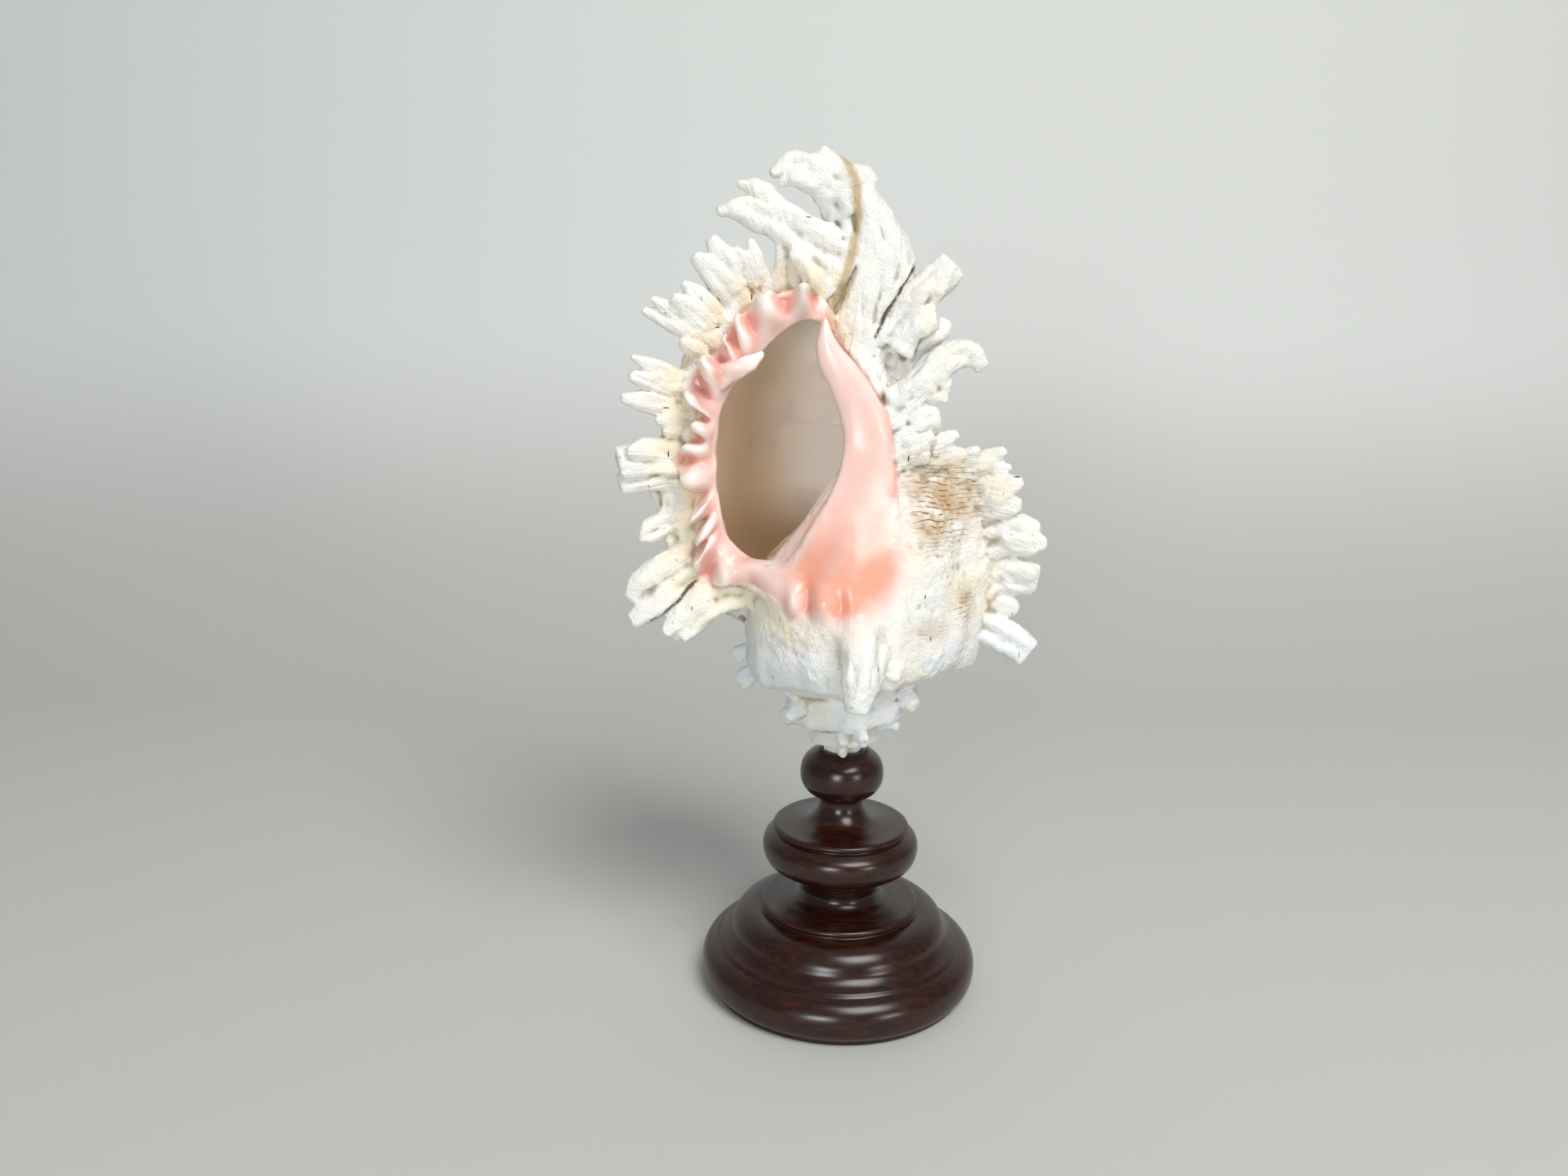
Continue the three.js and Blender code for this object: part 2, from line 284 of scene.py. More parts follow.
def last_turn(rows=330, cols=420):
    """The last turn's wall, as a sheet folded back on itself at the lip.

    One grid runs along the outside to the lip, over the pink crenulated face, and back along the
    inside. Near the lip the growing outline eases into the lip's own edge. Thickness falls to
    nothing at the suture and canal ends of the sheet.
    """
    s = np.linspace(0, 1, cols)
    wall = through(WALL_OUTLINE, s[::-1])
    outline = around(wall * (-1, 1), s) * (-1, 1)
    across = 1 - s
    edge, rim = around(LIP_EDGE, s), around(LIP_RIM, s)
    toward = outline - OUTLINE_MIDDLE
    toward /= np.linalg.norm(toward, axis=1)[:, None]

    run = np.r_[0, np.cumsum(np.linalg.norm(np.diff(edge, axis=0), axis=1))]
    run /= run[-1]
    phase = through(FOLD_COUNT, run)[:, 1] + 0.2 * np.sin(2 * np.pi * 4.3 * run)
    ends = smoothstep(0, 0.05, s) * smoothstep(1, 0.93, s)
    strength = ends * (0.85 + 0.35 * np.sin(2 * np.pi * 3.3 * run + 0.5))
    strength *= 1 - 0.6 * smoothstep(0.8, 0.95, run)

    n = np.linspace(TURN_START, -0.012, rows)[:, None]
    out = relief(outline[None, :, 0], outline[None, :, 1], n, across[None, :]) / WIDTH_PER_WHORL**n
    out = out + RIB_HEIGHT * varix_swell(n) * smoothstep(0, 0.12, across) * smoothstep(1, 0.8, across)
    out = (out + 2.5 * smoothstep(-0.09, -0.02, n)) * ends
    outside = grown(outline[:, 0] + out * toward[:, 0], outline[:, 1] + out * toward[:, 1], n)

    out_dir = edge - MOUTH_CENTRE
    out_dir /= np.linalg.norm(out_dir, axis=1)[:, None]
    lip = lambda xz, y: np.stack([xz[:, 0], np.broadcast_to(y, len(xz)), xz[:, 1]], -1)
    crest = fold_height(phase)
    outer_edge = lip(edge + out_dir * (EDGE_WAVE * crest * strength)[:, None],
                     EDGE_Y - FACE_FOLD * crest * strength)
    ease = smoothstep(-0.085, -0.012, n)[..., None]
    outside = outside * (1 - ease) + lip(edge - out_dir * 0.5, -11.5) * ease

    q = np.linspace(0, 1, 34)[1:-1, None]
    lean = phase[None, :] + 0.5 * (q - 0.2) * np.sin(2 * np.pi * 1.7 * run)
    crown = FACE_CROWN * np.sin(np.pi * q**0.85)
    fold = FACE_FOLD * fold_height(lean) * smoothstep(1.0, 0.1, q)
    rim_curve = lip(rim, RIM_Y)
    face = outer_edge * (1 - q[..., None]) + rim_curve * q[..., None]
    face[..., 1] -= crown * ends + fold * strength

    m = np.linspace(-0.004, -0.74, rows // 2)[:, None]
    hollow = WALL + (DEEP_WALL - WALL) * smoothstep(-0.5, -0.7, m)
    inside = grown(outline[None, :, 0] - hollow * toward[:, 0] * ends,
                   outline[None, :, 1] - hollow * toward[:, 1] * ends, m)
    back = smoothstep(-0.075, 0.0, m)[..., None]
    inside = inside * (1 - back) + lip(rim, -11.0) * back
    grid = np.concatenate([outside, outer_edge[None], face, rim_curve[None], inside])
    return sheet_solid(grid)


def sheet_solid(grid):
    """A folded sheet made solid: its rows join round, and its two side edges are zipped shut."""
    rows, cols = grid.shape[:2]
    r = np.arange(rows)[:, None]
    c = np.arange(cols - 1)[None, :]
    a = r * cols + c
    below = ((r + 1) % rows) * cols + c
    quads = np.stack([a, a + 1, below + 1, below], -1).reshape(-1, 4)
    caps, points, start = [], [grid.reshape(-1, 3)], rows * cols
    for column, flip in ((0, False), (cols - 1, True)):
        ring = np.arange(rows) * cols + column
        nxt = np.roll(ring, -1)
        mid = np.full(rows, start)
        points.append(grid[:, column].mean(0)[None])
        start += 1
        caps.append(np.stack([ring, nxt, mid, mid] if flip else [nxt, ring, mid, mid], 1))
    return np.vstack(points), np.vstack([quads] + caps)


def lip_tooth():
    """The pointed tooth of the outer lip: a flattened limb that bends in over the mouth."""
    line = [(-47, -14, 218.5), (-42.5, -17.5, 219.5), (-37.5, -19.5, 221.5), (-33, -19.5, 224),
            (-29.3, -18, 227.2)]
    return limb(line, [4.6, 4.2, 3.2, 2.3, 1.0], [2.8, 2.8, 2.4, 1.9, 0.9], facing=(0, -1, 0))


# ---- Limbs and fronds -------------------------------------------------------

def frames(line, facing):
    """For each point of a line: its direction, the side across it, and the face towards facing."""
    ahead = np.gradient(line, axis=0)
    ahead /= np.linalg.norm(ahead, axis=1)[:, None]
    side = np.cross(ahead, np.broadcast_to(np.asarray(facing, float), ahead.shape))
    side /= np.linalg.norm(side, axis=1)[:, None]
    return ahead, side, np.cross(side, ahead)


def limb(line, wide, deep, facing=(0, -1, 0), rows=40, cols=36):
    """An oval tube along a smooth line, with half widths eased between the given stations."""
    t = np.linspace(0, 1, rows)
    path = through(line, t)
    _, side, face = frames(path, facing)
    knots = np.linspace(0, 1, len(wide))
    a = np.interp(t, knots, wide)[:, None, None]
    b = np.interp(t, knots, deep)[:, None, None]
    ring = np.linspace(0, 2 * np.pi, cols, endpoint=False)[None, :, None]
    return closed_tube(path[:, None] + a * np.cos(ring) * side[:, None] + b * np.sin(ring) * face[:, None])


def finger(line, wide, deep, facing=(0, -1, 0), seed=1, groove=0.0, rough=0.14, rows=44, cols=40):
    """A limb with soft lengthwise folds, and with a gutter along the side that faces the mouth.

    Noise that is slow along the limb and quicker round it swells it; the gutter is a bell across it.
    """
    t = np.linspace(0, 1, rows)
    path = through(line, t)
    _, side, face = frames(path, facing)
    knots = np.linspace(0, 1, len(wide))
    a = np.interp(t, knots, wide)[:, None]
    b = np.interp(t, knots, deep)[:, None]
    ring = np.linspace(0, 2 * np.pi, cols, endpoint=False)[None, :]
    c, d = np.cos(ring), np.sin(ring)
    length = np.linalg.norm(np.diff(path, axis=0), axis=1).sum()
    at = np.stack(np.broadcast_arrays(t[:, None] * length / 9 + 5.1 * seed, c * 1.1, d * 1.1), -1)
    swell = 1 + rough * (1.5 * noise(at, 1.0, seed, 1) + 1.1 * ridged(at * (0.8, 1.2, 1.2), 1.0, seed + 9))
    gutter = groove * bell(c, -0.25 * np.sin(seed), 0.38) * np.clip(d, 0, 1)
    gutter = gutter * np.sin(np.pi * t[:, None]) ** 0.5
    x, y = a * swell * c, b * (swell * d - gutter)
    return closed_tube(path[:, None] + x[..., None] * side[:, None] + y[..., None] * face[:, None])


def frond(root, tip, wide, deep=None, bend=(0, 0, 2), tips=3, reach=0.34, fan=1.0, blunt=0.3, groove=0.5,
          pinch=0.78, facing=(0, -1, 0), seed=1):
    """One leafy spine of a rib: a guttered limb that bows from root to tip by a parabola, and ends in
    short pointed tips that fan out across it, each of its own length and lean.
    """
    root, tip = np.asarray(root, float), np.asarray(tip, float)
    deep = wide * 0.62 if deep is None else deep
    run = tip - root
    length = np.linalg.norm(run)
    u = np.linspace(-0.08, 1, 7)[:, None]
    line = root + run * u + 4 * u * (1 - u) * np.asarray(bend, float)
    ahead, side, face = frames(line, facing)
    shape = np.array([1.25, 1.0, pinch, pinch, 0.5 + 0.5 * pinch, 0.8, blunt])
    body = np.array([1.15, 1.0, 0.9, 0.85, 0.8, 0.65, 0.35])
    random = lambda k: np.sin(12.9898 * (seed + 1) + 78.233 * (k + 1)) * 43758.5453 % 1
    made = [finger(line, wide * shape, deep * body, facing, seed, groove)]
    for k in range(tips):
        across = (2 * (k + 0.5) / tips - 1) * 0.85 if tips > 1 else 0.4 * (random(8) - 0.5)
        start = line[3] + side[3] * across * 0.45 * wide
        grow = 0.55 + 0.75 * random(k)
        end = (line[5] + side[5] * across * wide * (0.9 + 0.5 * fan) + ahead[5] * length * reach * grow
               + face[5] * deep * (0.9 * random(k + 20) - 0.2))
        middle = line[4] + side[4] * across * 0.75 * wide + face[4] * deep * 0.5 * (random(k + 40) - 0.3)
        thick = wide * (0.46 + 0.2 * random(k + 60)) * (1.15 if tips < 3 else 0.9)
        made.append(finger([start, middle, middle * 0.45 + end * 0.55, end],
                           thick * np.array([0.9, 1.0, 0.85, 0.36]), thick * np.array([0.9, 0.85, 0.65, 0.3]),
                           facing, seed + 3 * k + 50, 0.3, rows=26, cols=26))
    return made


# Fronds of the lip, [root, tip, half width, keywords], root and tip as x, y, z.
LIP_FRONDS = [
    ((-12, -6, 240), (-11, -13, 256), 2.4, dict(tips=1, seed=3, groove=0.1)),
    ((-15, -6, 240), (-15, -12, 258), 2.5, dict(tips=1, seed=34, groove=0.1)),
    ((-19, -7, 241), (-20, -13, 256), 2.6, dict(tips=1, seed=4, groove=0.1)),
    ((-24, -7, 240), (-24.5, -12, 258), 2.6, dict(tips=1, seed=5, groove=0.1)),
    ((-29, -6, 238), (-35, -13, 257), 4.6, dict(tips=2, seed=6)),
    ((-33, -7, 236), (-46, -14, 256), 6.0, dict(tips=2, seed=7)),
    ((-35, -6, 232), (-47, -11, 250), 3.8, dict(tips=1, seed=35)),
    ((-38, -7, 229), (-54, -14, 244), 4.8, dict(tips=2, seed=8, bend=(0, 0, 1))),
    ((-40, -7, 227), (-61, -13, 239), 4.0, dict(tips=2, seed=36, bend=(0, -2, 1))),
    ((-44, -7, 222), (-56, -14, 229), 3.8, dict(tips=1, seed=9)),
    ((-47, -7, 216), (-68, -15, 221), 4.8, dict(tips=2, seed=10, bend=(0, 0, -1))),
    ((-47, -7, 212), (-73, -15, 212), 4.4, dict(tips=1, seed=37, bend=(0, 0, -2))),
    ((-50, -7, 203), (-61, -13, 203), 4.0, dict(tips=2, seed=11)),
    ((-50, -7, 190), (-76, -17, 191), 6.8,
     dict(tips=3, seed=12, pinch=0.9, deep=5.6, fan=0.1, reach=0.14, blunt=0.7)),
    ((-50, -7, 186), (-76, -15, 184), 5.2,
     dict(tips=1, seed=38, pinch=0.9, deep=4.6, fan=0.3, reach=0.15, blunt=0.6)),
    ((-50, -7, 173), (-70, -15, 165.5), 4.6, dict(tips=0, seed=13, pinch=0.6, blunt=0.15, groove=0.7)),
    ((-46, -7, 160), (-73, -16, 145), 7.0,
     dict(tips=3, seed=14, deep=6, bend=(0, 0, 2), fan=0.1, reach=0.16, pinch=0.95)),
    ((-46, -9, 157), (-72, -17, 138), 5.0,
     dict(tips=1, seed=39, deep=5, bend=(0, 0, 1), reach=0.18, fan=0.3, pinch=0.9, blunt=0.5)),
    ((-33, -10, 149), (-59, -14, 132), 6.4,
     dict(tips=2, seed=15, deep=5.6, bend=(-1, 0, 4), pinch=0.9, reach=0.18, fan=0.3)),
]
RIGHT_FRONDS = [
    ((10, -5, 234), (31, -11, 255), 6.0,
     dict(tips=0, seed=19, deep=5.8, pinch=0.95, groove=0, blunt=0.7, bend=(0, 0, 0))),
    ((15, -9, 230), (26, -13, 238.5), 4.4, dict(tips=0, seed=20, deep=4.4, blunt=0.75, groove=0)),
    ((14, -4, 222), (30, -8, 236), 4.6, dict(tips=1, seed=21, blunt=0.6)),
    ((14, -12, 212), (31, -14, 215.5), 4.6, dict(tips=0, seed=23, deep=4, blunt=0.7)),
    ((13, -14, 197), (28, -14, 207), 4.8, dict(tips=0, seed=24, deep=4, blunt=0.6, groove=0)),
    ((12, -15, 190), (24, -15, 197), 5.2, dict(tips=2, seed=41, deep=4, blunt=0.6)),
    ((19, -12, 186), (32, -12, 197), 5.4, dict(tips=2, seed=25, blunt=0.6)),
    ((26, -10, 181), (42, -12, 194), 5.2, dict(tips=2, seed=42, blunt=0.5)),
    ((30, -8, 178), (50, -11, 193), 4.8, dict(tips=2, seed=26)),
    ((34, -8, 172), (54, -12, 182), 6.6, dict(tips=2, seed=27, blunt=0.7, pinch=0.95, reach=0.25)),
    ((42, -8, 162), (63, -13, 168.5), 6.6, dict(tips=2, seed=28, blunt=0.5, fan=0.2, pinch=0.9, reach=0.24)),
    ((44, -8, 150), (63, -12, 153), 6.0, dict(tips=2, seed=29, blunt=0.7, fan=0.2, pinch=0.9, reach=0.2)),
    ((44, -8, 141), (58, -10, 142), 4.4, dict(tips=1, seed=30, pinch=0.9, reach=0.2)),
    ((40, -8, 138), (62, -12, 127.5), 6.2, dict(tips=0, seed=31, deep=5.2, blunt=0.75, pinch=0.8)),
]
# Single limbs, [line, half widths, half depths, seed, gutter]: the two wings of the canal, the
# hooked spine on the right and the large blunt spine below the mouth with its lobes.
LIMBS = [
    ([(-1, -6, 274), (-9, -9, 281), (-17, -11, 283.5), (-23, -12, 284), (-27, -12.5, 281.5)],
     [9.5, 8.6, 6.0, 3.8, 1.2], [7, 6.2, 5, 3.4, 1.4], 16, 0.25),
    ([(-14, -12, 279), (-20, -14, 280.5), (-25, -14, 278.6)], [3, 2.6, 1.0], [3, 2.6, 1.0], 17, 0.0),
    ([(-3, -6, 254), (-15, -10, 260), (-27, -13, 267.5), (-37, -14, 271), (-44, -14, 270)],
     [11, 7.4, 4.8, 4.0, 1.0], [7.5, 5.6, 4, 3.2, 1.2], 18, 0.55),
    ([(-8, -9, 263), (-18, -12, 267.5), (-27, -13.5, 273.5), (-33, -14, 277), (-38, -14, 279)],
     [3.4, 2.8, 2.6, 3.2, 1.0], [3.4, 3, 3, 2.6, 1.0], 19, 0.2),
    ([(-10, -9, 246), (-15, -14, 252), (-21, -15, 258)], [4.4, 3.4, 1.0], [4, 3, 1.2], 20, 0.0),
    ([(10, -10, 204), (17, -12, 212), (25, -12.5, 221), (32, -12, 226.5), (38, -11, 227), (42, -11, 223)],
     [6.4, 5.4, 4.8, 4.6, 4.2, 2.2], [6, 5, 4.6, 4.4, 4, 2.2], 22, 0.2),
    ([(1, -31, 148), (2.2, -39, 140), (2.4, -45, 130), (1.8, -48, 122.5), (1.4, -48.5, 117.5)],
     [8.0, 6.8, 5.4, 5.4, 3.2], [7, 6.2, 5.2, 5.0, 3.0], 32, 0.0),
    ([(9, -33, 139), (8, -40, 131), (6.4, -44, 123)], [3.4, 3.2, 1.8], [3.4, 3.2, 1.8], 33, 0.0),
    ([(14, -30, 138), (15, -36, 130), (14, -38, 125)], [2.8, 2.4, 1.2], [2.8, 2.4, 1.2], 36, 0.0),
    ([(-16, -12, 113), (-20, -17, 116.5), (-22, -20, 119)], [3.6, 2.8, 1.6], [3.6, 2.8, 1.6], 37, 0.2),
    ([(-14, -12, 109), (-17.5, -17, 107.5), (-20, -20, 105.5)], [3.4, 2.8, 1.6], [3.4, 2.8, 1.6], 38, 0.2),
    ([(16, -12, 116), (20, -17, 119), (21, -20, 121)], [4.0, 3.6, 2.2], [4.0, 3.4, 2.2], 39, 0.0),
    ([(16, -12, 112), (20.5, -17, 112), (23, -20, 110.5)], [4.4, 4.0, 2.4], [4.0, 3.6, 2.2], 45, 0.0),
    ([(-8, -8, 100), (-12.5, -12, 102), (-15, -15, 104)], [2.6, 2.2, 1.4], [2.6, 2.2, 1.4], 46, 0.2),
    ([(8, -8, 100), (14, -12, 102), (18.5, -14, 101.5)], [2.8, 2.4, 1.4], [2.6, 2.2, 1.4], 47, 0.2),
    ([(-1, -12, 104), (-1, -17, 99.5), (-0.7, -19, 96)], [3.4, 2.8, 1.6], [3.0, 2.4, 1.4], 48, 0.0),
]


def rib_fronds():
    """Fronds of the hidden rib on the back, and the knobs of the earlier ribs.

    Each row is [root radius, root height, tip radius, tip height, half width] as at the lip, and is
    carried back along the growth spiral to its rib.
    """
    made = []
    rows = [(50, 142, 69, 130, 6.0), (57, 155, 73, 149, 5.4), (60, 170, 77, 171, 5.6),
            (59, 186, 76, 192, 5.0), (55, 203, 73, 212, 5.4), (47, 219, 65, 234, 5.4),
            (37, 233, 53, 247, 5.0), (27, 245, 40, 260, 4.6)]
    ribs = [(-0.286, rows), (-1.083, rows[:2]), (-1.43, rows[:1]), (-1.76, rows[:1]),
            (-2.1, rows[:1]), (-2.45, rows[:1]), (-2.8, rows[:1])]
    for n, some in ribs:
        size = WIDTH_PER_WHORL**n
        azimuth = LIP_AZIMUTH + 2 * np.pi * n
        facing = (-math.sin(azimuth), math.cos(azimuth), 0)
        for k, (r0, z0, r1, z1, w) in enumerate(some):
            made += frond(grown(r0 + 3.5, z0, n), grown(r1 - 2, z1, n), w * max(size, 0.5), tips=2 + k % 2,
                          bend=(0, 0, 2.5 * size), facing=facing, seed=40 + k + int(-n * 10))
    return made


# ---- Canal, pillar and inner lip --------------------------------------------

CANAL_LINE = [(3, 3, 218), (2, 1, 226), (1, 0, 236), (1.4, -2, 248), (4.0, -4, 259), (2.2, -6, 270),
              (-2.6, -8, 280), (-7.6, -9, 286), (-10.4, -9.5, 289), (-11.3, -9.5, 290.3)]
CANAL_WIDE = [8, 11.5, 12.5, 13.5, 16.0, 13.0, 9.0, 6.6, 4.2, 1.2]
CANAL_DEEP = [8, 11, 11.5, 11, 10, 8.5, 6.8, 5.6, 4.0, 1.2]
SLIT_X = [-9, -9, -8.9, -4.4, -1.2, 0.2, -1.2, -4.4, -7.2, -9.0]


def canal(rows=170, cols=260):
    """The siphonal canal: an oval tube along its bent line, split by a narrow slit on the mouth side.

    The slit is a deep notch in the section at the slit's own place. Wrinkles run along the canal:
    they are noise that changes quickly round the section and slowly along it.
    """
    t = np.linspace(0, 1, rows)
    line = through(CANAL_LINE, t)
    knots = np.linspace(0, 1, len(CANAL_LINE))
    wide, deep, slit = (np.interp(t, knots, v)[:, None] for v in (CANAL_WIDE, CANAL_DEEP, SLIT_X))
    ring = np.linspace(0, 2 * np.pi, cols, endpoint=False)[None, :]
    c, d = np.cos(ring), -np.sin(ring)
    at = np.stack(np.broadcast_arrays(c * 1.5 + 0.35 * t[:, None], d * 1.5, t[:, None] * 1.6), -1)
    right = smoothstep(-0.3, 0.3, c)
    wrinkle = (0.02 + 0.09 * right) * ridged(at, 0.36, 61) + 0.09 * noise(at, 0.9, 62, 2)
    x, y = wide * c * (1 + wrinkle), deep * d * (1 + wrinkle)
    beside = line[:, 0, None] + x - slit
    notch = np.exp(-((beside / 1.3) ** 4)) * (d < 0.1)
    y = y + 3.4 * notch
    x = x - notch * beside * 0.15
    return closed_tube(np.stack([line[:, 0, None] + x, line[:, 1, None] + y,
                                 np.broadcast_to(line[:, 2, None], x.shape)], -1))


# Left and right edges of the inner lip, seen from the mouth side, and its depth: [left x, right x, y, z].
INNER_LIP = [
    (-10.5, -9.2, -15, 238), (-12.4, -6.0, -15.5, 231), (-11.8, 0.0, -16, 224), (-8.0, 6.0, -16, 216),
    (-4.8, 10.4, -16, 208), (-3.0, 12.8, -16.5, 199), (-4.2, 13.6, -18.5, 190), (-8, 14.2, -22, 181),
    (-14, 15.2, -26.5, 172), (-19, 16, -31, 163), (-23, 14.5, -34.5, 156), (-21.5, 9, -36.5, 150),
    (-16, 1, -37.5, 145)]


def inner_lip(rows=190, cols=150):
    """The glossy inner lip: a band between its two edges, crowned across, sunk into the pillar.

    It rises smoothly from the left edge, is highest near the right edge, and drops steeply there.
    Towards the spire it flattens into a glaze with a few soft ridges.
    """
    t = np.linspace(0, 1, rows)
    left, right, y, z = through(INNER_LIP, t).T[:, :, None]
    ring = np.linspace(0, 2 * np.pi, cols, endpoint=False)[None, :]
    c, d = np.cos(ring), np.sin(ring)
    half = (right - left) / 2
    t = t[:, None]
    x = (left + right) / 2 + half * (c + 0.16 * (1 - c * c) * np.clip(d, 0, 1))
    back = smoothstep(0.62, 0.95, t)
    y = y + 13 * back * smoothstep(0.1, -1.0, c) ** 1.2
    high = 3.4 * (1 - back) + 1.4 * back
    depth = np.where(d > 0, high * np.abs(d) ** (0.8 - 0.2 * back) * np.sign(d), 7.0 * d)
    lumps = 0.8 * noise(np.stack(np.broadcast_arrays(x, y, z), -1), 8.0, 71, 2) * smoothstep(0.6, 0.85, t)
    return closed_tube(np.stack(np.broadcast_arrays(x, y - depth - lumps * (d > 0), z), -1))


def lip_web():
    """The chalky crest of the lip's rib, which fills the roots between its fronds."""
    line = [(-24, -5, 243), (-36, -6, 240), (-43, -6.5, 231), (-49, -7, 221), (-52, -7, 210),
            (-55, -7.5, 199), (-56.5, -8, 187), (-56, -8, 176), (-54, -8, 166), (-48, -8, 157),
            (-38, -8, 153)]
    return finger(line, [5, 7, 7, 6.5, 6.5, 7.5, 8, 8, 7.5, 6, 4], [3.6] + [4.6] * 9 + [3.6], seed=71,
                  rough=0.2, rows=150, cols=60)


def mouth_floor():
    """The rounded fold that joins the lip to the inner lip across the bottom of the mouth."""
    line = [(-44, -12, 157), (-36, -15, 156), (-28, -19, 154), (-21, -24, 151.5), (-14, -28, 150),
            (-6, -29, 154)]
    return limb(line, [3.6, 4.6, 6.0, 7.4, 7.0, 5.0], [3.6, 5, 6, 7.6, 7, 5], rows=70, cols=60)


def pillar():
    """The pillar that the whorls turn about, hidden but for the side that faces the mouth."""
    line = [(2, 0, 150), (4, -4, 172), (6, -6, 190), (6, -6, 205), (3, -6, 222), (0, -6, 232)]
    return limb(line, [14, 11, 8, 8, 8, 6], [16, 13, 9, 9, 8, 5], rows=60, cols=60)


def apex():
    """The worn blunt tip of the spire, a turned stub on the axis that sits in the stand."""
    z = np.array([87.3, 87.3, 88.4, 91, 94, 97])
    r = np.array([3.0, 5.6, 6.4, 6.4, 8.5, 9.0])
    ring = np.linspace(0, 2 * np.pi, 48, endpoint=False)
    wave = 1 + 0.09 * np.cos(3 * ring + 1) + 0.05 * np.cos(7 * ring)
    return closed_tube(np.stack(np.broadcast_arrays(
        r[:, None] * np.cos(ring) * wave, r[:, None] * np.sin(ring) * wave, z[:, None]), -1))


# ---- The whole shell --------------------------------------------------------

def carve(mesh, voxel):
    """The one closed skin round all the surfaces, by voxel remeshing."""
    raw = place("raw_surfaces", mesh)
    remesh = raw.modifiers.new("skin", "REMESH")
    remesh.mode, remesh.voxel_size, remesh.adaptivity = "VOXEL", voxel * MM, 0
    skin = bpy.data.meshes.new_from_object(raw.evaluated_get(bpy.context.evaluated_depsgraph_get()))
    bpy.data.objects.remove(raw)
    return largest_part(skin)


def largest_part(mesh):
    """The largest joined part of an all-quad mesh, without the specks that remeshing leaves loose.

    Every vertex takes the lowest number it can reach: across each edge the lower label wins, and
    then each label is looked up again in its turn, until nothing changes.
    """
    edges = np.empty(len(mesh.edges) * 2, np.int32)
    mesh.edges.foreach_get("vertices", edges)
    a, b = edges.reshape(-1, 2).T
    label, before = np.arange(len(mesh.vertices)), None
    while before is None or (label != before).any():
        before = label.copy()
        low = np.minimum(label[a], label[b])
        np.minimum.at(label, label[a], low)
        np.minimum.at(label, label[b], low)
        label = label[label]
    kept = label == np.bincount(label).argmax()
    quads = np.empty(len(mesh.loops), np.int32)
    mesh.loops.foreach_get("vertex_index", quads)
    quads = quads.reshape(-1, 4)
    number = np.cumsum(kept) - 1
    return to_mesh("shell_murex", [(read(mesh, "co")[kept], number[quads[kept[quads[:, 0]]]])])


def read(mesh, what, width=3):
    """A mesh's vertex numbers as an array, in mm for places."""
    out = np.empty(len(mesh.vertices) * width, np.float32)
    mesh.vertices.foreach_get(what, out)
    return out.reshape(-1, width).astype(float) * (1 / MM if what == "co" else 1)


def write(mesh, points):
    """Puts places in mm back into a mesh."""
    mesh.vertices.foreach_set("co", (points * MM).astype(np.float32).ravel())
    mesh.update()


def relax(mesh, times, share=0.5):
    """Moves each vertex a share of the way to the mean of its neighbours; share may vary by vertex."""
    share = np.reshape(share, (-1, 1))
    edges = np.empty(len(mesh.edges) * 2, np.int32)
    mesh.edges.foreach_get("vertices", edges)
    a, b = edges.reshape(-1, 2).T
    points = read(mesh, "co")
    count = np.bincount(np.r_[a, b], minlength=len(points))[:, None]
    many = len(points)
    for _ in range(times):
        total = np.stack([np.bincount(a, points[b, k], many) + np.bincount(b, points[a, k], many)
                          for k in range(3)], -1)
        points = points * (1 - share) + total / count * share
    write(mesh, points)


def hollows(mesh, times, depth):
    """How sunken each vertex is: how far its smoothed place lies out along its normal, from -1 to 1."""
    points, normals = read(mesh, "co"), read(mesh, "normal")
    kept = mesh.copy()
    relax(kept, times, 0.6)
    out = ((read(kept, "co") - points) * normals).sum(1)
    bpy.data.meshes.remove(kept)
    return np.clip(out / depth, -1, 1)


def outline_distance(x, z, outline):
    """Distance from each (x, z) to a closed outline: positive inside it, negative outside."""
    p = np.stack([x, z], -1)
    a = np.asarray(outline, float)
    b = np.roll(a, -1, axis=0)
    best, crossings = np.full(len(p), 1e9), np.zeros(len(p), int)
    for (ax, az), (bx, bz) in zip(a, b):
        e = np.array([bx - ax, bz - az])
        w = p - (ax, az)
        t = np.clip(w @ e / max(e @ e, 1e-9), 0, 1)
        best = np.minimum(best, np.linalg.norm(w - t[:, None] * e, axis=1))
        crossings += ((az > z) != (bz > z)) & (x < (bx - ax) * (z - az) / (bz - az + 1e-12) + ax)
    return np.where(crossings % 2 == 1, best, -best)


def hollow_depth(points):
    """How far inside the last turn's outer outline a point lies, in mm, or -99 beyond the lip."""
    x, y, z = points.T
    turn = ((np.arctan2(y, x) - LIP_AZIMUTH) / (2 * np.pi)) % 1 - 1
    size = WIDTH_PER_WHORL**turn
    closed = np.vstack([through(WALL_OUTLINE, np.linspace(0, 1, 60)), CORE_OUTLINE])
    deep = outline_distance(np.hypot(x, y) / size, APEX_Z + (z - APEX_Z) / rise(turn), closed) * size
    return np.where(turn > TURN_START, deep, -99)


# Thin dark cracks, as [x, z] seen from the mouth side: by the canal, and between the two low fronds.
CRACKS = [[(23.5, 261), (21.3, 257.7), (17, 251.5), (13.8, 245.9), (9.5, 239), (6.6, 232.2)],
          [(-51.2, 151.7), (-54, 149), (-56.8, 145.2), (-61.8, 140.9), (-66, 138.5)]]


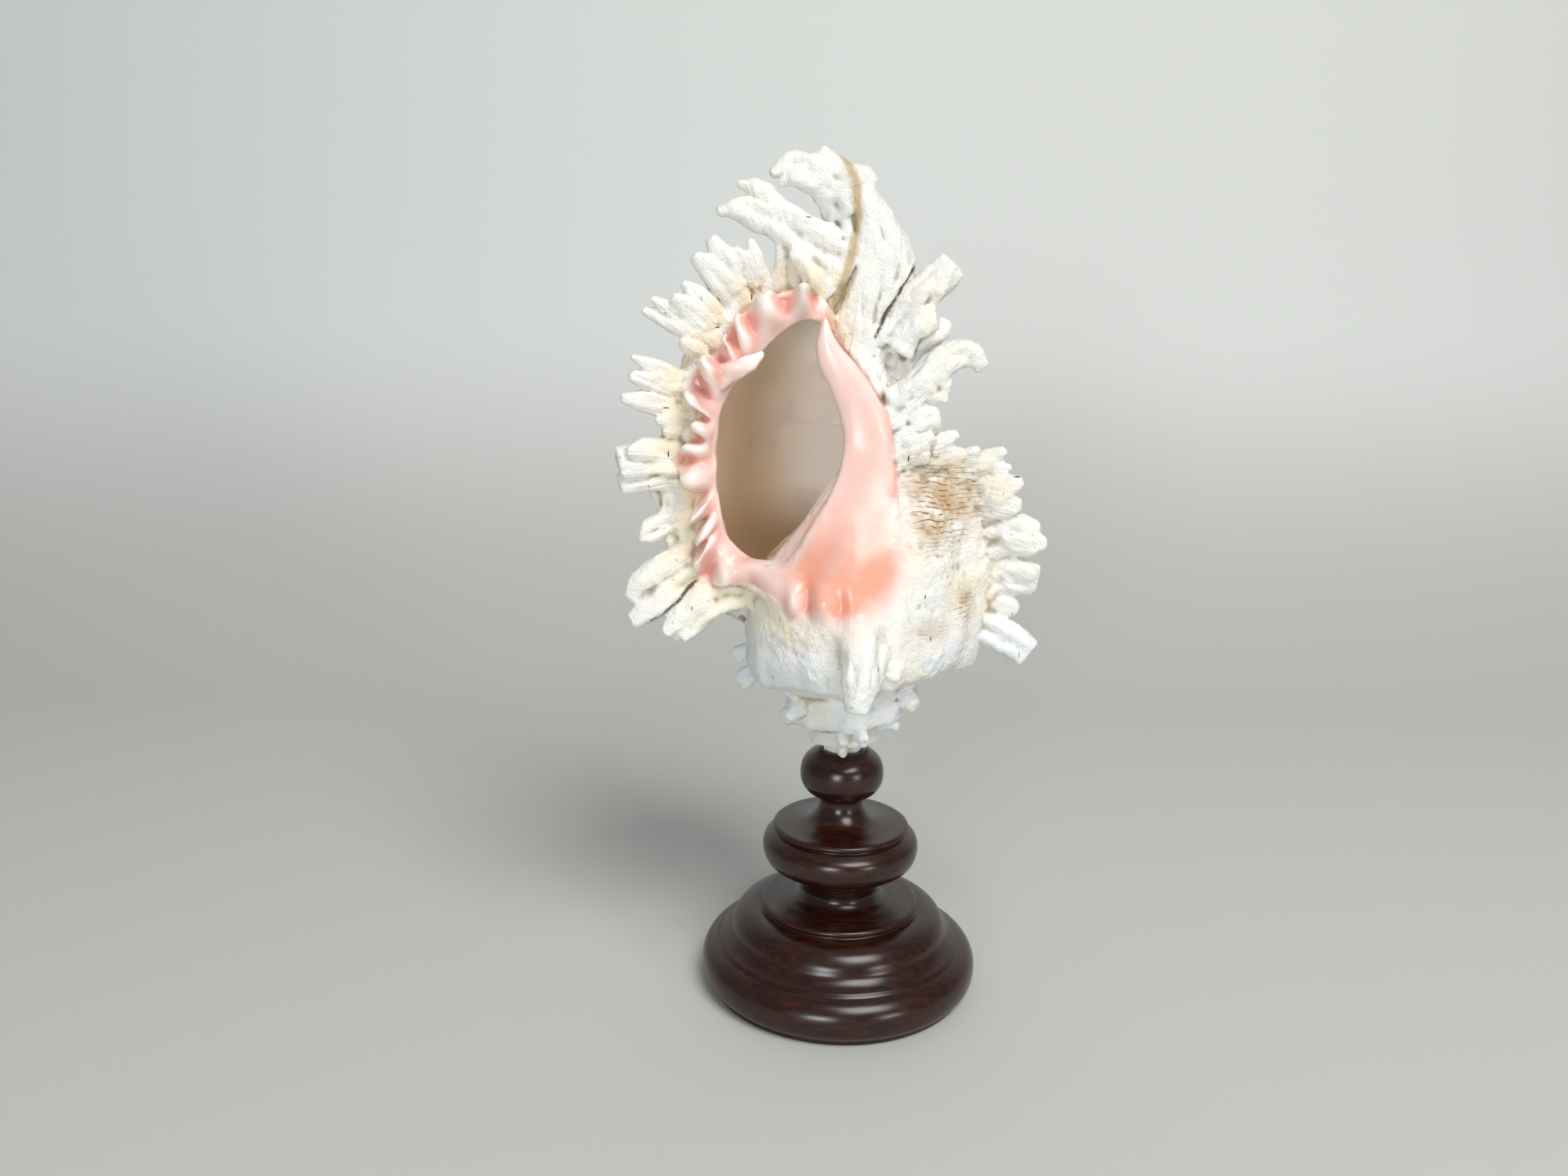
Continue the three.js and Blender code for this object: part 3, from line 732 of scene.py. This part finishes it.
def line_distance(x, z, line):
    """Distance from each (x, z) to an open line of points."""
    p, best = np.stack([x, z], -1), np.full(len(x), 1e9)
    for a, b in zip(np.array(line[:-1], float), np.array(line[1:], float)):
        t = np.clip((p - a) @ (b - a) / ((b - a) @ (b - a)), 0, 1)
        best = np.minimum(best, np.linalg.norm(p - a - t[:, None] * (b - a), axis=1))
    return best


def masks(points, normals):
    """Where each finish of the shell lies, from 0 to 1.

    Each area is the distance to its outline seen from the mouth side, wavered by noise and eased to
    0 and 1 over a few mm, and kept to the front of the shell. The stain is a few bells.
    """
    x, y, z = points.T
    edge = through(LIP_EDGE, np.linspace(0, 1, 160))
    rim = through(LIP_RIM, np.linspace(0, 1, 120))
    lip_area = outline_distance(x, z, np.vstack([edge, [(-6, 150), (0, 190), (-4, 230)]]))
    open_area = outline_distance(x, z, np.vstack([rim, [(-10, 168), (-3, 185), (-3, 205), (-8, 225)]]))
    left, right, _, level = through(INNER_LIP, np.linspace(0, 1, 120)).T
    band = np.vstack([np.stack([left, level], -1), np.stack([right, level], -1)[::-1]])
    band = outline_distance(x, z, band)
    front = smoothstep(0.35, -0.05, normals[:, 1])
    waver = noise(points, 6.0, 91, 2) * 0.9
    outer_lip = smoothstep(-1.6, 0.9, lip_area + waver) * smoothstep(3.5, -1.0, open_area)
    outer_lip *= smoothstep(-7, -12, y)
    soft = 0.4 + 4.5 * smoothstep(182, 160, z)
    column = smoothstep(-soft - 0.6, soft * 0.6, band + (0.4 + 0.5 * soft) * waver) * smoothstep(-6, -10, y)
    pink = np.maximum(outer_lip, column * np.maximum(front, 0.6))
    coral = column * smoothstep(186, 158, z + 7 * noise(points, 12.0, 95, 2))
    coral *= smoothstep(-28, -4, x + 5 * noise(points, 10.0, 96, 2))
    coral *= smoothstep(-1.5, 4.5, band + 2.5 * waver)
    inside = smoothstep(1.2, 2.0, hollow_depth(points)) * (1 - column) * smoothstep(246, 240, z)
    mouth = smoothstep(0.5, 2.0, open_area) * smoothstep(-15, -11, y) * smoothstep(14, 8, y)
    inside = np.maximum(inside, mouth)
    inside *= 1 - smoothstep(-0.5, -2.5, lip_area) * smoothstep(10, 2, y)
    slit = np.interp(z, [p[2] for p in CANAL_LINE[1:]], SLIT_X[1:])
    # painted shade: the slit's groove is tinted tan as its shadow
    tan = smoothstep(2.2, 0.8, np.abs(x - slit)) * smoothstep(231, 236, z) * smoothstep(1, -1, y) * front
    halo = smoothstep(-9, -1, band + 2 * waver) * smoothstep(-6, -12, y) * (1 - column)
    halo *= smoothstep(190, 175, z)
    x_far = (x - 28 - 4 * noise(points, 14.0, 97, 2)) / 14
    stain = np.exp(-(x_far**2) - ((z - 179 - 5 * noise(points, 12.0, 98, 2)) / 12) ** 2)
    stain = np.maximum(stain, 0.8 * bell(x, 38, 4) * bell(z, 146, 6))
    stain = np.maximum(stain, 0.5 * bell(x, 25, 6) * bell(z, 140, 3.5))
    stain *= smoothstep(0, -12, y) * (1 - column)
    roots = np.maximum(bell(outline_distance(x, z, edge), -3, 7) * smoothstep(4, -4, y),
                       0.6 * smoothstep(0.1, 0.6, noise(points, 24.0, 99, 2))) * (1 - column)
    crack = np.minimum.reduce([line_distance(x, z, line) for line in CRACKS])
    crack = smoothstep(0.75, 0.15, crack + 0.3 * noise(points, 5.0, 101, 1)) * smoothstep(0, -4, y)
    return {"stain": stain, "crack": crack, "root_cream": roots, "pink": pink * (1 - inside), "coral": coral,
            "inside": inside, "slit_shade": tan * (1 - pink), "callus_halo": halo}


def fine_relief(points, found):
    """Relief in mm of the finished skin, all of it noise but for the folds of the callus, which are bells.

    Creases run out from the mouth along every frond, and round the spire below it; rubble lies beside
    the inner lip; soft swellings lie on the pink folds; the cracks are cut in.
    """
    x, y, z = points.T
    chalky = 1 - np.maximum.reduce([found["pink"], found["inside"], found["coral"]])
    out_from = points - (-6, 0, 190)
    reach = np.hypot(out_from[:, 0], out_from[:, 2])
    angle = np.arctan2(out_from[:, 2], out_from[:, 0])
    fan = np.stack([42 * np.cos(angle), 42 * np.sin(angle), 0.22 * reach + 0.6 * y], -1)
    patchy = smoothstep(-0.3, 0.3, noise(points, 22.0, 85, 1))
    rubble = bell(x, 28, 17) * bell(z, 178, 20) * smoothstep(-5, -15, y)
    frondy = smoothstep(4, 20, np.hypot(x + 2, (z - 184) / 1.35) - 34) * smoothstep(128, 142, z)
    azimuth = np.arctan2(y, x)
    round_spire = np.stack([9 * np.cos(azimuth), 9 * np.sin(azimuth), 0.8 * z + 0.3 * x], -1)
    creases = 0.75 * ridged(fan, 6.0, 83) * (0.3 + 0.7 * patchy) + 0.16 * ridged(fan, 2.8, 84)
    wrinkles = 0.24 * ridged(round_spire, 4.4, 89) * (0.2 + 0.8 * patchy)
    wrinkles += 0.30 * ridged(points, 4.0, 90) * patchy
    lumps = (0.10 + 0.9 * rubble) * ridged(points, 5.0, 86)
    lumps += (0.12 + 0.4 * rubble) * noise(points, 2.4, 87, 2)
    soft = 0.9 * noise(points, 7.0, 88, 1) * found["pink"] * (1 - found["coral"]) * smoothstep(-22, -34, x)
    folds = sum(high * bell(x, at, wide) for high, at, wide in
                ((1, -18.5, 2.2), (-1.1, -14.5, 1.8), (1.2, -9.5, 3.2), (-0.9, -4, 2.5)))
    folds *= 1.5 * bell(z, 149.5, 5.5) * smoothstep(-10, -16, y)
    soft += folds * np.maximum(found["pink"], found["coral"])
    along = frondy * creases + (1 - frondy) * wrinkles
    return (along * (1 - 0.7 * rubble) + lumps) * chalky + soft - 0.8 * found["crack"]


def build_shell():
    """Joins every surface of the shell into one skin, relaxes it, and adds its fine relief and masks.

    The callus is relaxed further, so that its glaze runs smoothly into the chalk round it. Crevices
    are small hollows of the finished skin, and valleys are wide ones: the colour puts dirt and
    painted shade in the crevices and painted shade in the valleys.
    """
    surfaces = [last_turn(), lip_tooth(), canal(), pillar(), lip_web(), mouth_floor(), inner_lip(), apex()]
    surfaces += [whorl_tube(a, b, int((b - a) * k), cols) for a, b, k, cols in
                 ((-1.62, -0.72, 330, 200), (-2.55, -1.6, 240, 120), (-3.4, -2.5, 120, 80))]
    for root, tip, wide, more in LIP_FRONDS + RIGHT_FRONDS:
        surfaces += frond(root, tip, wide, **more)
    surfaces += [finger(line, wide, deep, seed=seed, groove=groove, cols=60)
                 for line, wide, deep, seed, groove in LIMBS]
    surfaces += rib_fronds()
    mesh = carve(to_mesh("raw_surfaces", surfaces), VOXEL)
    relax(mesh, 1, 0.5)
    points, normals = read(mesh, "co"), read(mesh, "normal")
    found = masks(points, normals)
    floor = found["pink"] * smoothstep(178, 170, points[:, 2]) * smoothstep(-42, -34, points[:, 0])
    callus = np.maximum.reduce([found["coral"], found["callus_halo"], floor])
    relax(mesh, 60, 0.6 * np.clip(1.8 * callus, 0, 1))
    points, normals = read(mesh, "co"), read(mesh, "normal")
    write(mesh, points + normals * fine_relief(points, found)[:, None])
    # crevice: dirt and painted shade in the colour; valley: painted shade in the wide hollows between fronds
    found["crevice_dirt_and_shade"], found["valley_shade"] = hollows(mesh, 18, 0.9), hollows(mesh, 90, 3.0)
    for name, value in found.items():
        mesh.attributes.new(name, "FLOAT", "POINT").data.foreach_set("value", value.astype(np.float32))
    mesh.shade_smooth()
    piece = place("shell_murex", mesh)
    thin = piece.modifiers.new("fewer_triangles", "DECIMATE")
    thin.ratio = min(1.0, SHELL_TRIANGLES / (2 * len(mesh.polygons)))
    return piece


# ---- Stand ------------------------------------------------------------------

# Runs of [radius, height] from the axis round to the axis: each run is one smooth curve, and the
# runs meet in crisp turned edges.
FOOT_PROFILE = [
    [(0, 0), (46.6, 0)], [(46.6, 0), (47.0, 0.3), (47.1, 1.4)],
    [(47.1, 1.4), (49.0, 3.4), (50, 7.6), (49.4, 11.2), (47.4, 14.1), (44.9, 15.7)],
    [(44.9, 15.7), (44.0, 15.9), (43.9, 16.9)],
    [(43.9, 16.9), (42, 17.8), (39.4, 20.2), (38.2, 23.4), (36, 26.4), (32.6, 28.2), (28.4, 28.6)],
    [(28.4, 28.6), (28.0, 28.8), (28.1, 29.3)], [(28.1, 29.3), (28.6, 29.7), (28.6, 30.7), (27.9, 31.2)],
    [(27.9, 31.2), (21, 31.4), (15.4, 32.3), (13.7, 34.4), (13.6, 38.6)],
    [(13.6, 38.6), (15.6, 39.4), (16.9, 40.9), (17.3, 42.5), (17.0, 43.0)],
    [(17.0, 43.0), (6.3, 43.0)], [(6.3, 43.0), (6.3, 30.7)], [(6.3, 30.7), (0, 30.7)]]
SPINDLE_PROFILE = [
    [(0, 31), (6, 31)], [(6, 31), (6, 43.3)], [(6, 43.3), (17.2, 43.3)],
    [(17.2, 43.3), (22, 44.2), (26.4, 46.8), (28, 51.2), (27.3, 55.3), (24.5, 57.8)],
    [(24.5, 57.8), (23.3, 57.9), (23.2, 58.4)], [(23.2, 58.4), (24.2, 58.9), (24.3, 60.0), (23.5, 60.5)],
    [(23.5, 60.5), (17.5, 60.9), (11.2, 62.6), (8.5, 65.8), (7.8, 69.6), (8.0, 70.8)],
    [(8.0, 70.8), (11.6, 72.3), (14.3, 75.8), (14.9, 80), (13.6, 84.6), (10.6, 87.4), (8.6, 88.5)],
    [(8.6, 88.5), (7.6, 88.7), (7.2, 88.0), (6.8, 87.0)], [(6.8, 87.0), (0, 87.0)]]


def turned(profile, cols=220):
    """A turning: a profile carried once round the axis, very slightly out of round as old wood is."""
    runs = []
    for run in profile:
        length = np.linalg.norm(np.diff(np.array(run, float), axis=0), axis=1).sum()
        count = max(3, int(length / 0.7)) if len(run) > 2 else 4
        runs.append(through(run, np.linspace(0, 1, count)) if len(run) > 2
                    else np.linspace(run[0], run[1], count))
    line = np.vstack([run[:-1] for run in runs] + [runs[-1][-1:]])
    line = line[(line[:, 0] > 1e-6)]
    ring = np.linspace(0, 2 * np.pi, cols, endpoint=False)[None, :]
    r, z = line[:, 0, None], line[:, 1, None]
    r = r * (1 + 0.0012 * np.cos(2 * ring + 0.6) + 0.0006 * np.cos(5 * ring))
    return closed_tube(np.stack(np.broadcast_arrays(r * np.cos(ring), r * np.sin(ring), z), -1))


# ---- Materials --------------------------------------------------------------

def linear(hex_colour):
    """A linear RGBA colour from an sRGB hex value."""
    s = np.array([int(hex_colour[i:i + 2], 16) / 255 for i in (1, 3, 5)])
    return (*np.where(s <= 0.04045, s / 12.92, ((s + 0.055) / 1.055) ** 2.4), 1.0)


def node(tree, kind, settings=None, inputs=None):
    """Adds a shader node with its settings, fills or links its inputs, and returns its outputs.

    An input is a value, an sRGB hex colour, or another node's output, which is linked to it.
    """
    made = tree.nodes.new("ShaderNode" + kind)
    for key, value in (settings or {}).items():
        setattr(made, key, value)
    for key, value in (inputs or {}).items():
        if isinstance(value, bpy.types.NodeSocket):
            tree.links.new(value, made.inputs[key])
        else:
            made.inputs[key].default_value = linear(value) if isinstance(value, str) else value
    return made.outputs


# Settings that recur. A mix of colours takes its share as input 0 and its colours as inputs 6 and 7,
# and gives output 2. An eased range takes its source, low and high as inputs 0, 1 and 2.
RGBA, EASED = {"data_type": "RGBA"}, {"interpolation_type": "SMOOTHSTEP"}
TIMES, PLUS, TIMES_PLUS, MINUS, LARGER, SIZE, SINE, UNIT, LENGTH, SCALE = (
    {"operation": name} for name in ("MULTIPLY", "ADD", "MULTIPLY_ADD", "SUBTRACT", "MAXIMUM",
                                     "ABSOLUTE", "SINE", "NORMALIZE", "LENGTH", "SCALE"))
PER_MM = 1000  # a texture's scale counts its features in a metre: PER_MM / size in mm


def new_material(name):
    """A material with an empty node tree, the tree, and the piece's own coordinates in it."""
    material = bpy.data.materials.new(name)
    material.use_nodes = True
    tree = material.node_tree
    tree.nodes.clear()
    return material, tree, node(tree, "TexCoord")["Object"]


def layered(tree, colour, *layers):
    """Colours laid over the first colour in turn.

    Each layer is its colour and the factors of its cover: a mask, a number, or (source, low, high)
    for a source that is eased from 0 at low to 1 at high.
    """
    for over, *factors in layers:
        eased = [node(tree, "MapRange", EASED, dict(enumerate(factor)))[0] if isinstance(factor, tuple)
                 else factor for factor in factors]
        cover = eased[0]
        for factor in eased[1:]:
            cover = node(tree, "Math", TIMES, {0: cover, 1: factor})[0]
        colour = node(tree, "Mix", RGBA, {0: cover, 6: colour, 7: over})[2]
    return colour


def fan_lines(tree, at):
    """Height of fine creases about 2 mm apart that fan out from the mouth, as they run on the fronds.

    They are noise read at the direction from the mouth's centre, and drawn out along the way from it.
    They fade out below the mouth, where the spire's own growth runs across them.
    """
    flat = node(tree, "Mapping", None, {0: at, "Location": (0.006, 0, -0.190), "Scale": (1, 0, 1)})[0]
    towards = node(tree, "VectorMath", UNIT, {0: flat})[0]
    reach = node(tree, "VectorMath", LENGTH, {0: flat})["Value"]
    across, _, up = node(tree, "SeparateXYZ", None, {
        0: node(tree, "VectorMath", SCALE, {0: towards, "Scale": 0.05})[0]})
    _, y, z = node(tree, "SeparateXYZ", None, {0: at})
    drawn = node(tree, "Math", TIMES, {0: reach, 1: 0.12})[0]
    drawn = node(tree, "Math", TIMES_PLUS, {0: y, 1: 0.5, 2: drawn})[0]
    fan = node(tree, "CombineXYZ", None, {0: across, 1: up, 2: drawn})[0]
    lines = node(tree, "TexNoise", None, {"Vector": fan, "Scale": PER_MM / 1.9, "Detail": 2.0})["Fac"]
    crease = node(tree, "Math", SIZE, {0: node(tree, "Math", MINUS, {0: lines, 1: 0.5})[0]})[0]
    fade = node(tree, "MapRange", EASED, {0: z, 1: 0.138, 2: 0.158, 4: 3.0})[0]
    return node(tree, "Math", TIMES, {0: crease, 1: fade})[0]


def growth_lines(tree, at, height):
    """Fine brown lines 1.6 mm apart up the height, wavering over 14 mm and broken every 4 mm.

    Returns the sine of the height and the noise that breaks it, each as (source, low, high).
    """
    warp, broken = (
        node(tree, "TexNoise", None, {"Vector": at, "Scale": PER_MM / size, "Detail": detail})["Fac"]
        for size, detail in ((14, 2.0), (3.8, 1.0)))
    waver = node(tree, "Math", TIMES, {0: warp, 1: 26.0})[0]
    phase = node(tree, "Math", TIMES_PLUS, {0: height, 1: 2 * math.pi * PER_MM / 1.6, 2: waver})[0]
    return (node(tree, "Math", SINE, {0: phase})[0], 0.55, 0.95), (broken, 0.42, 0.52)


def scratches(tree, at):
    """Short dark scratches 2 to 3 mm long in two leanings, each the middle of a rare stretched cell.

    Returns, for each leaning, the cell's distance and its random colour, each as (source, low, high).
    """
    for turn, stretch in ((0.5, (1.0, 1.0, 5.0)), (2.1, (4.5, 1.0, 1.0))):
        lean = node(tree, "Mapping", None, {0: at, "Rotation": (0.3, turn, 0.2), "Scale": stretch})[0]
        cells = node(tree, "TexVoronoi", None, {"Vector": lean, "Scale": PER_MM / 16})
        chance = node(tree, "SeparateXYZ", None, {0: cells["Color"]})[0]
        yield (cells["Distance"], 0.09, 0.06), (chance, 0.72, 0.74)


def shell_material():
    """Chalky sea-worn calcium carbonate, as the animal grew it, with a porcelain-smooth pink lip.

    What it gives the eye: cool white chalk with cream at the frond roots and bluish enamel on the
    front of the spire; tan dirt and painted shade in the small hollows, painted shade in the wide
    valleys; a tan stain crossed by fine brown lines; short dark scratches and two cracks; salmon
    folds with pale crests, their troughs painted darker as shade; painted shade in the canal's
    slit; a coral callus; a glossy beige inside, painted lighter on its right, with a painted glow.
    """
    material, tree, at = new_material("chalky_murex_shell_with_porcelain_lip")
    x, y, z = node(tree, "SeparateXYZ", None, {0: at})
    mask = {name: node(tree, "Attribute", {"attribute_name": name})["Fac"] for name in (
        "pink", "coral", "inside", "slit_shade", "callus_halo", "crevice_dirt_and_shade", "valley_shade", "stain", "root_cream",
        "crack")}
    # Sizes in mm: clouds of tint, blotches of dirt, specks as large as a worm's hole, chalky grain.
    cloud, blotch, speck, grain = (
        node(tree, "TexNoise", None, {
            "Vector": at, "Scale": PER_MM / size, "Detail": detail, "Roughness": roughness})["Fac"]
        for size, detail, roughness in ((24, 3.0, 0.5), (7, 3.0, 0.5), (2.4, 4.0, 0.6), (0.7, 3.0, 0.5)))
    chalk = layered(
        tree, "#e4e5e2",
        ("#ebe8de", (cloud, 0.38, 0.66)),
        ("#dfe3e6", (z, 0.140, 0.130), (y, -0.040, -0.034), (blotch, 0.35, 0.55)),
        ("#ebdec2", mask["root_cream"], (blotch, 0.25, 0.6)),
        # painted shade in the wide valleys between the fronds
        ("#c2b294", (mask["valley_shade"], 0.05, 0.9), 0.75),
        ("#a8977c", (speck, 0.66, 0.76)),
        # tan dirt and painted shade, darker in the small hollows of the skin
        ("#8b7a62", (mask["crevice_dirt_and_shade"], 0.0, 0.6), (blotch, 0.3, 0.62), 0.85),
        ("#b99d75", mask["stain"], (blotch, 0.3, 0.56)),
        ("#7d5234", mask["stain"], *growth_lines(tree, at, z)),
        *(("#4a4138", *scratch) for scratch in scratches(tree, at)),
        ("#4a4138", mask["crack"]))
    pink = layered(
        tree, "#f6e6df",
        # painted shade: the hollows of the lip's folds are painted deeper salmon, the crests left pale
        ("#dc9686", (mask["crevice_dirt_and_shade"], -0.75, 0.55)),
        ("#f1cdc4", (blotch, 0.45, 0.7), 0.4),
        ("#ee9474", mask["coral"], (cloud, 0.25, 0.7)))
    # Inside: painted light, paler towards the right of the mouth where light falls in; darker brown towards
    # the bottom.
    inner = layered(
        tree, "#d9c2a3",
        ("#f3e9df", (x, -0.036, -0.008)),
        ("#b99b7a", (z, 0.180, 0.157)),
        ("#b5a4a0", (cloud, 0.5, 0.7), 0.4))
    # The slit's tan is painted shade in its groove.
    colour = layered(
        tree, chalk, ("#efe4da", mask["callus_halo"]), ("#bba886", mask["slit_shade"]),
        (pink, mask["pink"]), (inner, mask["inside"]))

    # Matt chalk, glossy lip, satin inside.
    smooth_part = node(tree, "Math", LARGER, {0: mask["pink"], 1: mask["inside"]})[0]
    gloss = node(tree, "Mix", None, {0: mask["inside"], 2: 0.27, 3: 0.456})[0]
    rough = node(tree, "Mix", None, {0: smooth_part, 2: 0.79, 3: gloss})[0]
    fine = node(tree, "Math", PLUS, {0: grain, 1: fan_lines(tree, at)})[0]
    uneven = node(tree, "Math", TIMES_PLUS, {0: speck, 1: 1.6, 2: fine})[0]
    chalky = node(tree, "Math", MINUS, {0: 1.0, 1: smooth_part})[0]
    height = node(tree, "Math", TIMES, {0: uneven, 1: chalky})[0]
    bump = node(tree, "Bump", None, {"Height": height, "Strength": 0.55, "Distance": 0.7 * MM})[0]
    # painted light: the inside glows by emission, standing in for daylight through the thin wall
    glow = node(tree, "Math", TIMES, {0: mask["inside"], 1: 0.09})[0]  # daylight through the thin wall
    shader = node(tree, "BsdfPrincipled", None, {
        "Base Color": colour, "Roughness": rough, "Normal": bump, "IOR": 1.53,
        "Emission Color": inner, "Emission Strength": glow})
    node(tree, "OutputMaterial", None, {0: shader[0]})
    return material


def wood_material():
    """Mahogany-stained hardwood, turned and french-polished: dark, with a soft gloss over faint grain.

    The grain is noise 11 mm long and a sixth as wide, drawn out across the turning.
    """
    material, tree, at = new_material("turned_french_polished_mahogany_stain")
    grain = node(tree, "Mapping", None, {0: at, "Scale": (1, 6, 6)})[0]
    streak = node(tree, "TexNoise", None, {
        "Vector": grain, "Scale": PER_MM / 11, "Detail": 6.0, "Roughness": 0.7})["Fac"]
    rough = node(tree, "MapRange", None, {0: streak, 3: 0.2, 4: 0.3})[0]
    bump = node(tree, "Bump", None, {"Height": streak, "Strength": 0.08, "Distance": 0.4 * MM})[0]
    shader = node(tree, "BsdfPrincipled", None, {
        "Base Color": layered(tree, "#1a0a06", ("#38170d", (streak, 0.35, 0.7))),
        "Roughness": rough, "Normal": bump, "IOR": 1.5})
    node(tree, "OutputMaterial", None, {0: shader[0]})
    return material


def paper_material():
    """Matt studio paper: a pale grey floor that lightens up the backdrop."""
    material, tree, at = new_material("matte_studio_paper")
    height = node(tree, "SeparateXYZ", None, {0: at})["Z"]
    # painted light: the paper is painted paler as it rises up the backdrop
    shader = node(tree, "BsdfPrincipled", None, {
        "Base Color": layered(tree, "#c6c7c3", ("#e6e9e6", (height, 0.0, 0.25))), "Roughness": 0.9})
    node(tree, "OutputMaterial", None, {0: shader[0]})
    return material


# ---- Studio -----------------------------------------------------------------

def studio_floor():
    """A plain pale floor that curves up into a backdrop far behind."""
    x = np.linspace(-2600, 2600, 3)
    turn = np.linspace(0, np.pi / 2, 24)
    y = np.r_[-2500, 320 + 520 * np.sin(turn), 840]
    z = np.r_[0, 520 - 520 * np.cos(turn), 2400]
    rows = np.stack(np.broadcast_arrays(x[None, :], y[:, None], z[:, None]), -1)
    count, cols = rows.shape[:2]
    r, c = np.arange(count - 1)[:, None], np.arange(cols - 1)[None, :]
    a = r * cols + c
    quads = np.stack([a, a + 1, a + cols + 1, a + cols], -1).reshape(-1, 4)
    floor = place("studio_floor", to_mesh("studio_floor", [(rows.reshape(-1, 3), quads)]))
    floor.data.shade_smooth()
    floor.data.materials.append(paper_material())


def area_light(name, at, look_at, size, power, colour):
    """A square soft light of that size in metres and power in watts, turned to face a place."""
    lamp = bpy.data.lights.new(name, "AREA")
    lamp.size, lamp.energy, lamp.color = size, power, colour
    holder = place(name, lamp)
    away = Vector(at) - Vector(look_at)
    holder.matrix_world = Matrix.Translation(at) @ away.to_track_quat("Z", "Y").to_matrix().to_4x4()


def studio():
    """Soft white surroundings, a large light above, and a window on each side in front."""
    bpy.context.scene.view_settings.view_transform = "Standard"
    world = bpy.data.worlds.new("soft_white")
    bpy.context.scene.world = world
    world.use_nodes = True
    background = world.node_tree.nodes["Background"].inputs
    background["Color"].default_value, background["Strength"].default_value = (0.95, 0.975, 1.0, 1), 0.24
    area_light("ceiling_glow", (0.45, -0.9, 1.35), (0, 0, 0.15), 0.8, 19, (1.0, 0.985, 0.965))
    area_light("left_window", (-0.42, -1.45, 0.30), (0, 0, 0.12), 0.42, 7.5, (0.92, 0.97, 1.0))
    area_light("right_window", (0.95, -1.2, 0.30), (0, 0, 0.12), 0.3, 3.2, (1.0, 0.94, 0.86))


def studio_camera():
    """Standing eye 400 mm in front of the shell's axis, a little above its middle, looking down."""
    camera = bpy.data.cameras.new("camera")
    camera.sensor_width, camera.lens = 36.0, 27.05
    camera.clip_start = 0.01
    holder = place("camera", camera)
    holder.matrix_world = (Matrix.Translation((-0.0217, -0.400, 0.2335))
                           @ Matrix.Rotation(math.radians(90 - 12.265), 4, "X")
                           @ Matrix.Rotation(math.radians(0.783), 4, "Z"))
    bpy.context.scene.camera = holder


studio_camera()
studio()
studio_floor()

wood = wood_material()
for name, profile, part in (("turned_foot", FOOT_PROFILE, "stand_foot"),
                            ("turned_spindle", SPINDLE_PROFILE, "stand_spindle")):
    turning = place(name, to_mesh(name, [turned(profile)]))
    turning.data.shade_smooth()
    turning.data.materials.append(wood)
    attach(turning, "root")
    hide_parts(part)

shell = build_shell()
shell.data.materials.append(shell_material())
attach(shell, "root")
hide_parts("shell")
